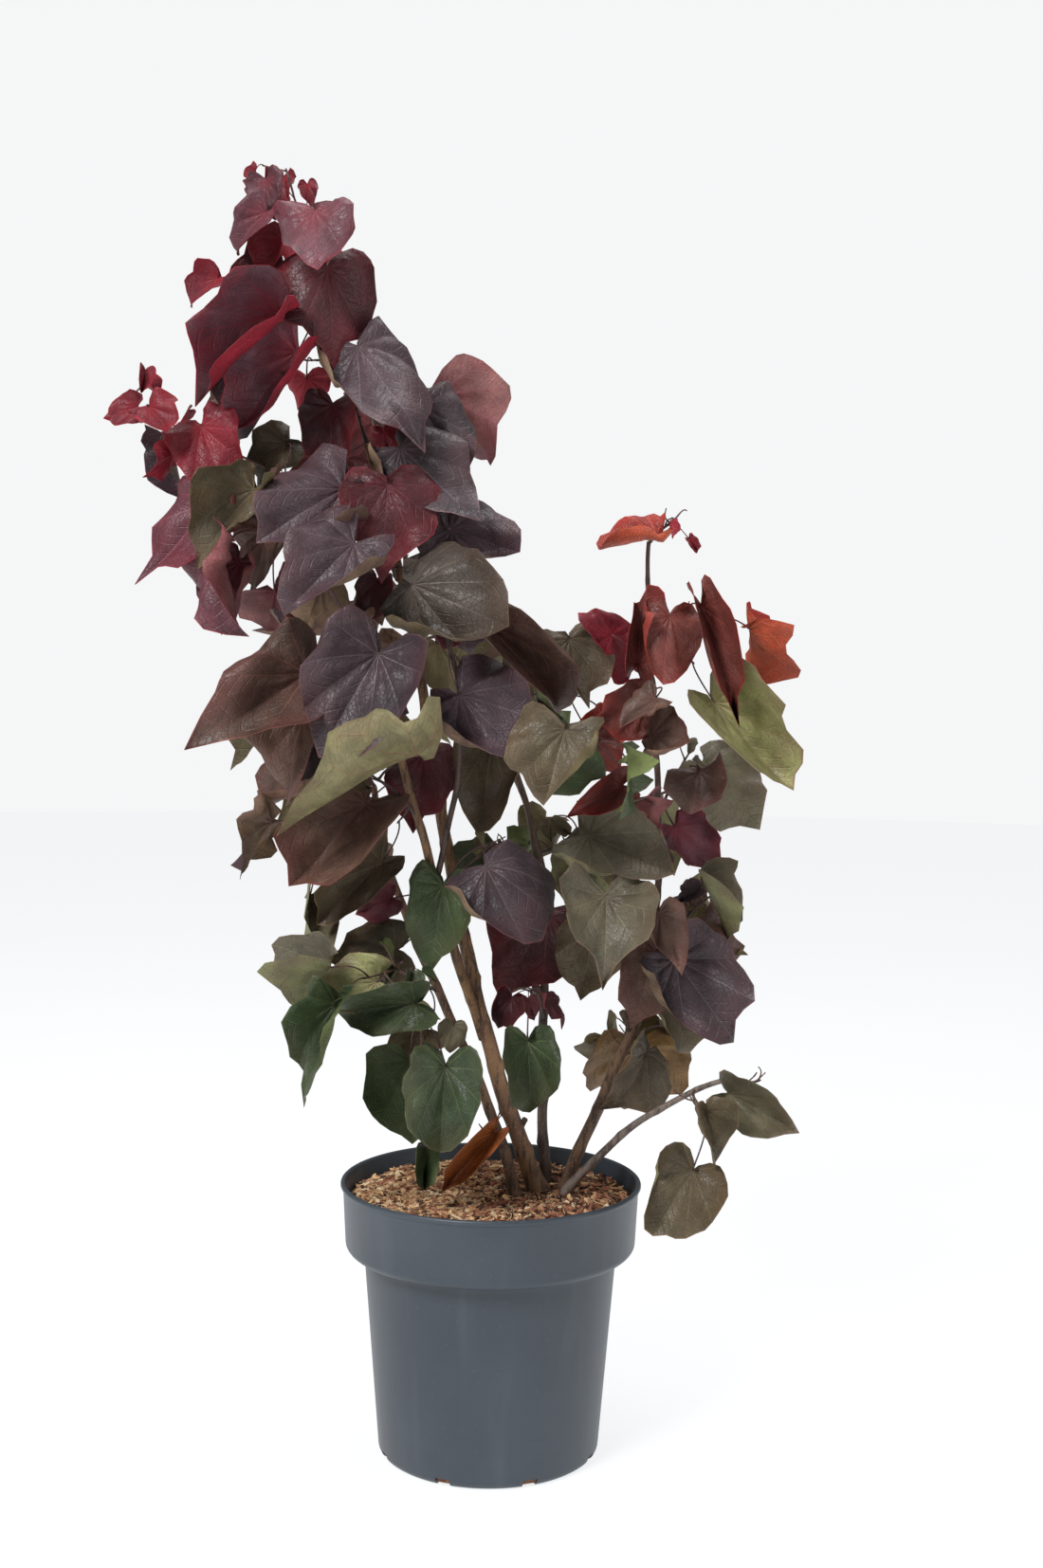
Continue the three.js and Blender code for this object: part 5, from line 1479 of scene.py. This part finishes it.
WARM_TINTS = ("crimson", "mauve", "wine")  # tinged most where their veins meet
DULL_TINTS = ("crimson", "orange")
DEEP, FLAT = 1.0, 0.2  # relief of the veins: between the main ones, and on them
VEIN_STEP, STEP_GROWTH = 26, 0.05  # degrees between main veins, which widen to the stalk's side
SIDE_VEINS, SIDE_VEIN_SLANT = 8.5, 2.4  # how many along a blade, and how far they slant
NET_SCALE = 24.0


def vein_masks(finish):
    """The side veins, as arcs between the main ones, and the net of the finest."""
    spot = finish.node("ShaderNodeUVMap", {"uv_map": "blade"})
    across = finish.node("ShaderNodeSeparateXYZ", {}, spot)
    ahead = Value(finish, across.socket.node.outputs[1])
    reach = (across * across + ahead * ahead).maths("SQRT")
    angle = across.maths("ARCTAN2", ahead).maths("ABSOLUTE") * math.degrees(1)
    off = angle.maths("DIVIDE", angle * STEP_GROWTH + VEIN_STEP).maths("PINGPONG", 0.5)
    arcs = (reach * SIDE_VEINS - off * SIDE_VEIN_SLANT).maths("PINGPONG", 0.5)
    settings = {"feature": "DISTANCE_TO_EDGE", "voronoi_dimensions": "2D"}
    net = finish.node("ShaderNodeTexVoronoi", settings, Vector=spot, Scale=NET_SCALE)
    return 1 - arcs.step(0.0, 0.11), 1 - net.step(0.0, 0.09)


def tinge_mask(finish, where, warm):
    """Where the blade takes on the colour of its rim: at the margin and at the stalk."""
    share = finish.node("ShaderNodeAttribute", {"attribute_name": "share"}, output=SHARE_OUTPUT)
    margin = share.step(0.35, 1.0) * finish.noise(where, 18.0).step(0.35, 0.65)
    return margin * 0.6 + (1 - share.step(0.05, 0.7)) * warm


def leaf_finish(name, code, vein, rim, gloss, relief):
    """A leaf's skin: mottled and tinged, with side veins in relief between the main ones."""
    finish = Finish(name, Coat_Weight=gloss, Coat_Roughness=0.3)
    where = finish.place()
    side_vein, net = vein_masks(finish)
    mottle = finish.noise(where, 46.0, 5.0)
    fine = finish.noise(where, 300.0, 3.0)
    pucker = finish.noise(where, 120.0, 2.0)
    warm = 0.65 if name.startswith(WARM_TINTS) else 0.2
    colour = finish.mix(mottle.step(0.3, 0.7), shade(code, 0.70), shade(code, 1.28))
    colour = finish.mix(fine.step(0.45, 0.7) * 0.3, colour, shade(code, 0.66))
    colour = finish.mix(tinge_mask(finish, where, warm), colour, shade(rim, 0.8))
    colour = finish.mix(side_vein * 0.32 + net * 0.10, colour, shade(vein))
    return finish.wear(colour=colour, rough=mottle * 0.14 + (0.43 if gloss else 0.54),
                       height=side_vein * relief + net * relief * 0.7 + fine * 0.4 + pucker * 1.2,
                       depth=0.0009, strength=0.6)


def leaf_materials(tint):
    """The six finishes of a tint, in the order of UPPER to RIM."""
    upper, upper_too, under, vein, under_vein, rim = LEAF_TINTS[tint]
    gloss = 0.01 if tint in DULL_TINTS else 0.03
    return [
        leaf_finish(tint + "_leaf", upper, vein, rim, gloss, -DEEP),
        leaf_finish(tint + "_leaf_deep", upper_too, vein, rim, gloss, -DEEP),
        leaf_finish(tint + "_under", under, under_vein, rim, 0.0, DEEP),
        leaf_finish(tint + "_vein", vein, vein, rim, gloss, -FLAT),
        leaf_finish(tint + "_under_vein", under_vein, under_vein, rim, 0.0, FLAT),
        leaf_finish(tint + "_rim", rim, rim, rim, gloss, -FLAT),
    ]


print("tints", len(LEAF_TINTS))

# %% [markdown]
# ## How each leaf has grown
# The solids hold plain folded hearts. Real leaves are ruffled, twisted and pinched, and their
# margins roll in, most of all on blades that bend back. Dice give each leaf such habits. Age and
# sun then give some leaves a tint of their own, and an olive leaf that bends far back takes a
# darker copy of its tint as painted shade.

# %% Habits of the leaves
FADED_BELOW = 400  # an orange leaf lower than this is an old one, faded to rust
SUNNY_SIDE = 90, 680  # to the right of this and above it the red leaves turn to russet
GROWN, FOLDED = 95, 20  # a red leaf longer and more folded than this darkens to wine
BENT_BACK, BENT_FAR_BACK = -0.8, -1.6
LEVEL = 60  # degrees of lean
HARD_ROLL = 2.6  # radians
FLAT_TO = 0.6  # share of the blade inside which no margin rolls
FLAT_TO_BROAD = 0.44
BROADER = 16  # degrees
NEAR = np.array((0, -1, -0.6))  # to the front, and down
look_dice = np.random.default_rng(2024)


def give_habit(leaf):
    """Ruffles, twists, pinches and rolls a leaf by dice."""
    leaf["shade"] = look_dice.uniform() < 0.45
    leaf["ruffle"] = look_dice.uniform(0.6, 1.35)
    leaf["tip_bend"] = look_dice.uniform(-0.24, 0.18)
    leaf["twist"] = look_dice.uniform(-0.6, 0.6)
    leaf["pinch"] = look_dice.choice((-0.22, 0.1, 0.5)) * look_dice.uniform(0.5, 1.2)
    leaf["rolled"] = look_dice.choice((0.4, 1.3, 2.4)) * look_dice.uniform(0.6, 1.1)
    leaf["rolled_too"] = look_dice.choice((-1.8, -0.9, 0.6)) * look_dice.uniform(0.6, 1.1)
    side = look_dice.choice((-1, 1))
    if leaf["roll"] <= BENT_BACK or leaf["lean"] > LEVEL:
        # a blade that bends back, or lies level, rolls in along its lower or front margin
        side = math.copysign(1, leaf["frame"][2].dot(NEAR))
        leaf["rolled"] = look_dice.uniform(HARD_ROLL, 3.1)
    broad = leaf["rolled"] > HARD_ROLL and leaf["frame"][1][1] < 0
    leaf["flat_to"] = FLAT_TO_BROAD if broad else FLAT_TO
    leaf["rolled_at"] = side * look_dice.uniform(50, 95)
    leaf["rolled_over"] = look_dice.uniform(30, 58) + (BROADER if broad else 0)


def give_age(leaf):
    """Moves a leaf to a tint of its own where its age, its place or its hang would change it; the
    darker tint of an olive leaf that bends far back is painted shade.
    """
    tint, (x, _, z) = leaf["tint"], leaf["at"]
    if tint == "orange" and z < FADED_BELOW:
        leaf["tint"] = "rust"
    elif tint in ("mauve", "burgundy") and x > SUNNY_SIDE[0] and z > SUNNY_SIDE[1]:
        leaf["tint"] = "russet"
    elif tint in ("crimson", "burgundy") and leaf["length"] > GROWN and leaf["fold"] > FOLDED:
        # it darkens above, stays red below and rolls in along one side
        leaf["tint"] = "wine"
        leaf.update(rolled=2.0, rolled_at=75, rolled_over=62, rolled_too=-0.6, pinch=0.3)
    elif tint == "olive" and leaf["roll"] < BENT_FAR_BACK:
        # painted shade: an olive leaf that bends far back takes a darker copy of its tint
        leaf["tint"] = "dusk"
    elif tint == "brown" and leaf["lean"] < 0:
        # it has paled, and hangs flat
        leaf["tint"] = "tan"
        leaf.update(rolled=0.3, rolled_too=0.2, ruffle=0.6, pinch=0.05, twist=0, tip_bend=0)


for leaf in leaves:
    give_habit(leaf)
    give_age(leaf)
print("leaves that roll hard", sum(leaf["rolled"] > HARD_ROLL for leaf in leaves))

# %% [markdown]
# ## Twigs, stalks and finer growth
# Twigs run on from the limbs. Every leaf hangs on a thin stalk that swells at both ends. New
# shoots end in buds and in small leaves that have not opened, kept inside their mass's space and
# clear of the grown leaves, so that nothing is added outside what the solids fill.

# %% Finer shoots
SHOOTS_FROM = (0.55, 0.8, 1.0)  # of a mass's twig
SHOOT_MARGIN = 3  # inside the mass's box
YOUNG_MARGIN = 2
YOUNG_ABOVE = 480  # leaves that have not opened stand on the shoots higher than this
YOUNG_CLEAR = 5
PROBES = (0.1, 0.35, 0.6, 0.9)  # places along a grown leaf that a young one keeps clear of
PLAIN_HABIT = {"shade": False, "ruffle": 0.5, "tip_bend": 0, "twist": 0, "pinch": 0.1,
               "rolled": 0.3, "rolled_too": 0, "rolled_at": 60, "rolled_over": 60,
               "flat_to": FLAT_TO}


def young_leaf(end, heading, tint):
    """A small folded leaf that hangs near the end of a shoot."""
    size = look_dice.uniform(14, 30)
    at = end + look_dice.normal(0, 7, 3)
    leaf = {"at": at, "length": size, "hang": look_dice.uniform(-60, 60),
            "turn": math.degrees(heading) + 90 + look_dice.uniform(-60, 60),
            "lean": look_dice.uniform(0, 40), "fold": look_dice.uniform(20, 50),
            "roll": look_dice.uniform(-0.5, 1.5), "curl": look_dice.uniform(0, 0.4),
            "tint": tint, **PLAIN_HABIT}
    leaf["frame"] = blade_frame(leaf)
    leaf["path"] = [at, (at + end) / 2 - leaf["frame"][0] * 3, end]
    return leaf


def fits(leaf, low, high, taken):
    """Whether a young leaf lies inside a box and clear of the places that are taken."""
    tip, heart = (leaf["at"] + leaf["frame"][0] * leaf["length"] * s for s in (1, 0.5))
    foot_inside = (leaf["at"] > low) & (leaf["at"] < high)
    tip_inside = (tip - YOUNG_MARGIN > low) & (tip + YOUNG_MARGIN < high)
    clear = min(np.linalg.norm(heart - spot) for spot in taken)
    return (foot_inside & tip_inside).all() and clear > leaf["length"] * 0.5 + YOUNG_CLEAR


young = []
shoots = []
taken = [leaf["at"] + leaf["frame"][0] * leaf["length"] * s for leaf in leaves for s in PROBES]
for name, mass in masses.items():
    low, high = (np.array(corner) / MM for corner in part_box(name))
    tints = mass["plan"]["tints"]
    tint = "crimson" if "crimson" in tints else tints[0]
    for share in SHOOTS_FROM:
        foot = mass["twigs"][0].at(share)
        heading = look_dice.uniform(0, math.tau)
        level = np.array((math.cos(heading), math.sin(heading))) * 0.7
        out = np.array((*level, look_dice.uniform(0.2, 0.9)))
        end = foot + out * look_dice.uniform(16, 38)
        end = np.clip(end, low + SHOOT_MARGIN, high - SHOOT_MARGIN)
        shoots.append([foot, (foot + end) / 2 + look_dice.normal(0, 1.5, 3), end])
        for _ in range(2 if end[2] > YOUNG_ABOVE else 0):
            leaf = young_leaf(end, heading, tint)
            if fits(leaf, low, high, taken):
                taken.append(leaf["at"] + leaf["frame"][0] * leaf["length"] * 0.5)
                young.append(leaf)
print("shoots", len(shoots), "young leaves", len(young))

# %% Twigs and buds
BUD_SHARES = np.array((0, 0.25, 0.5, 0.75, 0.93, 1.0))
BUD_WIDTHS = np.array((0.7, 1.0, 0.95, 0.66, 0.3, 0.1))
BUD_SPACING = 24
BUD_SIZE = (3.0, 0.95)
TWIG_END, SPRIG_END = 0.95, 0.85
SHOOT_RADIUS = (0.95, 0.6)
TWIG_ZIGZAG = 0.9
TWIG_SWELL, TWIG_SWELL_WIDTH = 0.38, 0.11  # shares of the radius and of the spacing
twigs, buds = Heap(), Heap()


def add_bud(point, way, length, radius):
    """A small pointed bud."""
    way = way / np.linalg.norm(way)
    tube(buds, point + way * length * BUD_SHARES[:, None], radius * BUD_WIDTHS, sides=7)


def add_twig(twig, thick, thin, kind):
    """A twig in a slight zigzag that swells at its nodes, with a bud at each and at its end."""
    shares = np.linspace(0, 1, 12 if twig.sprig else 30)
    points = bow_points(twig.points, shares)
    nodes = shares * twig.length / BUD_SPACING
    swell = 1 + TWIG_SWELL * np.exp(-((nodes - np.round(nodes)) / TWIG_SWELL_WIDTH) ** 2)
    way = points[-1] - points[0]
    side = np.cross(way, (0.3, 0.5, 1.0))
    side /= np.linalg.norm(side)
    sway = TWIG_ZIGZAG * np.sin(nodes * math.pi) * np.sin(shares * math.pi)
    points = points + side * sway[:, None]
    tube(twigs, points, (thick + (thin - thick) * shares) * swell, sides=8, kind=kind)
    add_bud(points[-1] - way * 0.001, points[-1] - points[-2], thin * 4, thin * 1.15)
    for k in range(1, int(twig.length / BUD_SPACING)):
        beside = side * (-1) ** k
        place = twig.at(k * BUD_SPACING / twig.length) + beside * thick * 0.8
        add_bud(place, beside + way / np.linalg.norm(way) * 0.9, *BUD_SIZE)


for place, mass in enumerate(masses.values()):
    for twig in mass["twigs"]:
        thick, thin = (SPRIG_RADIUS, SPRIG_END) if twig.sprig else (TWIG_RADIUS, TWIG_END)
        add_twig(twig, thick, thin, place % 2)
for points in shoots:
    add_twig(Twig(points, sprig=True), *SHOOT_RADIUS, 1)
wood = [bark_finish("twig_dark", "4a3836", "5a433e", "35282a", "80685f"),
        bark_finish("twig_brown", "5d473c", "705546", "42322d", "8f7867")]
scales = bark_finish("bud_scales", "4a2228", "60303a", "331a1e", "7a4448")
add_piece("twigs", twigs.mesh("twigs"), wood, list(MASSES))

# %% Leaf stalks
STALK_RADIUS, YOUNG_STALK_RADIUS = 0.82, 0.5
YOUNG_LENGTH = 40  # a leaf shorter than this has the thinner stalk
STALK_SHARES = np.linspace(0, 1, 13)
SWELL_ENDS, SWELL_WIDTH = (0.62, 0.6), 0.07  # at the blade and at the twig
RED_STALKED = ("crimson", "mauve", "burgundy", "orange")
stalks = Heap()
swells = [size * np.exp(-(way / SWELL_WIDTH) ** 2)
          for size, way in zip(SWELL_ENDS, (STALK_SHARES, 1 - STALK_SHARES))]
for leaf in leaves + young:
    radius = STALK_RADIUS if leaf["length"] > YOUNG_LENGTH else YOUNG_STALK_RADIUS
    kind = 0 if leaf["tint"] in RED_STALKED else 1
    course = bow_points(leaf["path"], STALK_SHARES)
    tube(stalks, course, radius * (1 + swells[0] + swells[1]), sides=7, kind=kind)
stalk_wood = [bark_finish("stalk_red", "5a2a32", "6c333a", "431f28", "8a4e50"),
              bark_finish("stalk_brown", "50363a", "66463f", "3a282a", "80604f")]
add_piece("leaf_stalks", stalks.mesh("leaf_stalks"), stalk_wood)
add_piece("buds", buds.mesh("buds"), [scales])

# %% [markdown]
# ## Joining the leaves
# An object for each leaf would be slow to handle, so the leaves of one tint are one mesh. Its
# UV map and its attribute come from the marks that each blade brought. The edge between a rim and
# a side is marked sharp, or smooth shading would smear the light round the thin margin.

# %% Leaf meshes


def leaf_mesh(name, heap):
    """The joined blades, with their flat places as a UV map and their rims kept crisp."""
    mesh = heap.mesh(name)
    flat = np.concatenate(heap.marks)
    corners = np.empty(len(mesh.loops), np.int32)
    mesh.loops.foreach_get("vertex_index", corners)
    layer = mesh.uv_layers.new(name="blade")
    layer.uv.foreach_set("vector", flat[corners, :2].ravel())
    share = mesh.attributes.new("share", "FLOAT", "POINT")
    share.data.foreach_set("value", np.ascontiguousarray(flat[:, 2]))
    ends = np.empty(len(mesh.edges) * 2, np.int32)
    mesh.edges.foreach_get("vertices", ends)
    ends = ends.reshape(-1, 2) % (2 * SIDE_COUNT)
    on_rim = (ends % SIDE_COUNT >= MARGIN[0]).all(axis=1)
    same_side = (ends[:, 0] < SIDE_COUNT) == (ends[:, 1] < SIDE_COUNT)
    sharp = mesh.attributes.new("sharp_edge", "BOOLEAN", "EDGE")
    sharp.data.foreach_set("value", on_rim & same_side)
    return mesh


SLOT_TINTS = {"orange": "crimson", "wine": "crimson", "russet": "mauve", "rust": "brown",
              "tan": "brown", "dusk": "olive", "pale": "sage"}  # each tint's partner, for a slot name that nothing uses
total = 0
for tint in LEAF_TINTS:
    piece, heap = tint + "_leaves", Heap()
    for leaf in leaves + young:
        if leaf["tint"] == tint:
            add_blade(heap, leaf, look_dice)
    total += len(heap.faces)
    slot = "leaf_" + SLOT_TINTS.get(tint, tint)
    add_piece(piece, leaf_mesh(piece, heap), leaf_materials(tint))
print("leaf faces", total)

# %% Size of the finished piece
low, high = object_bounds()
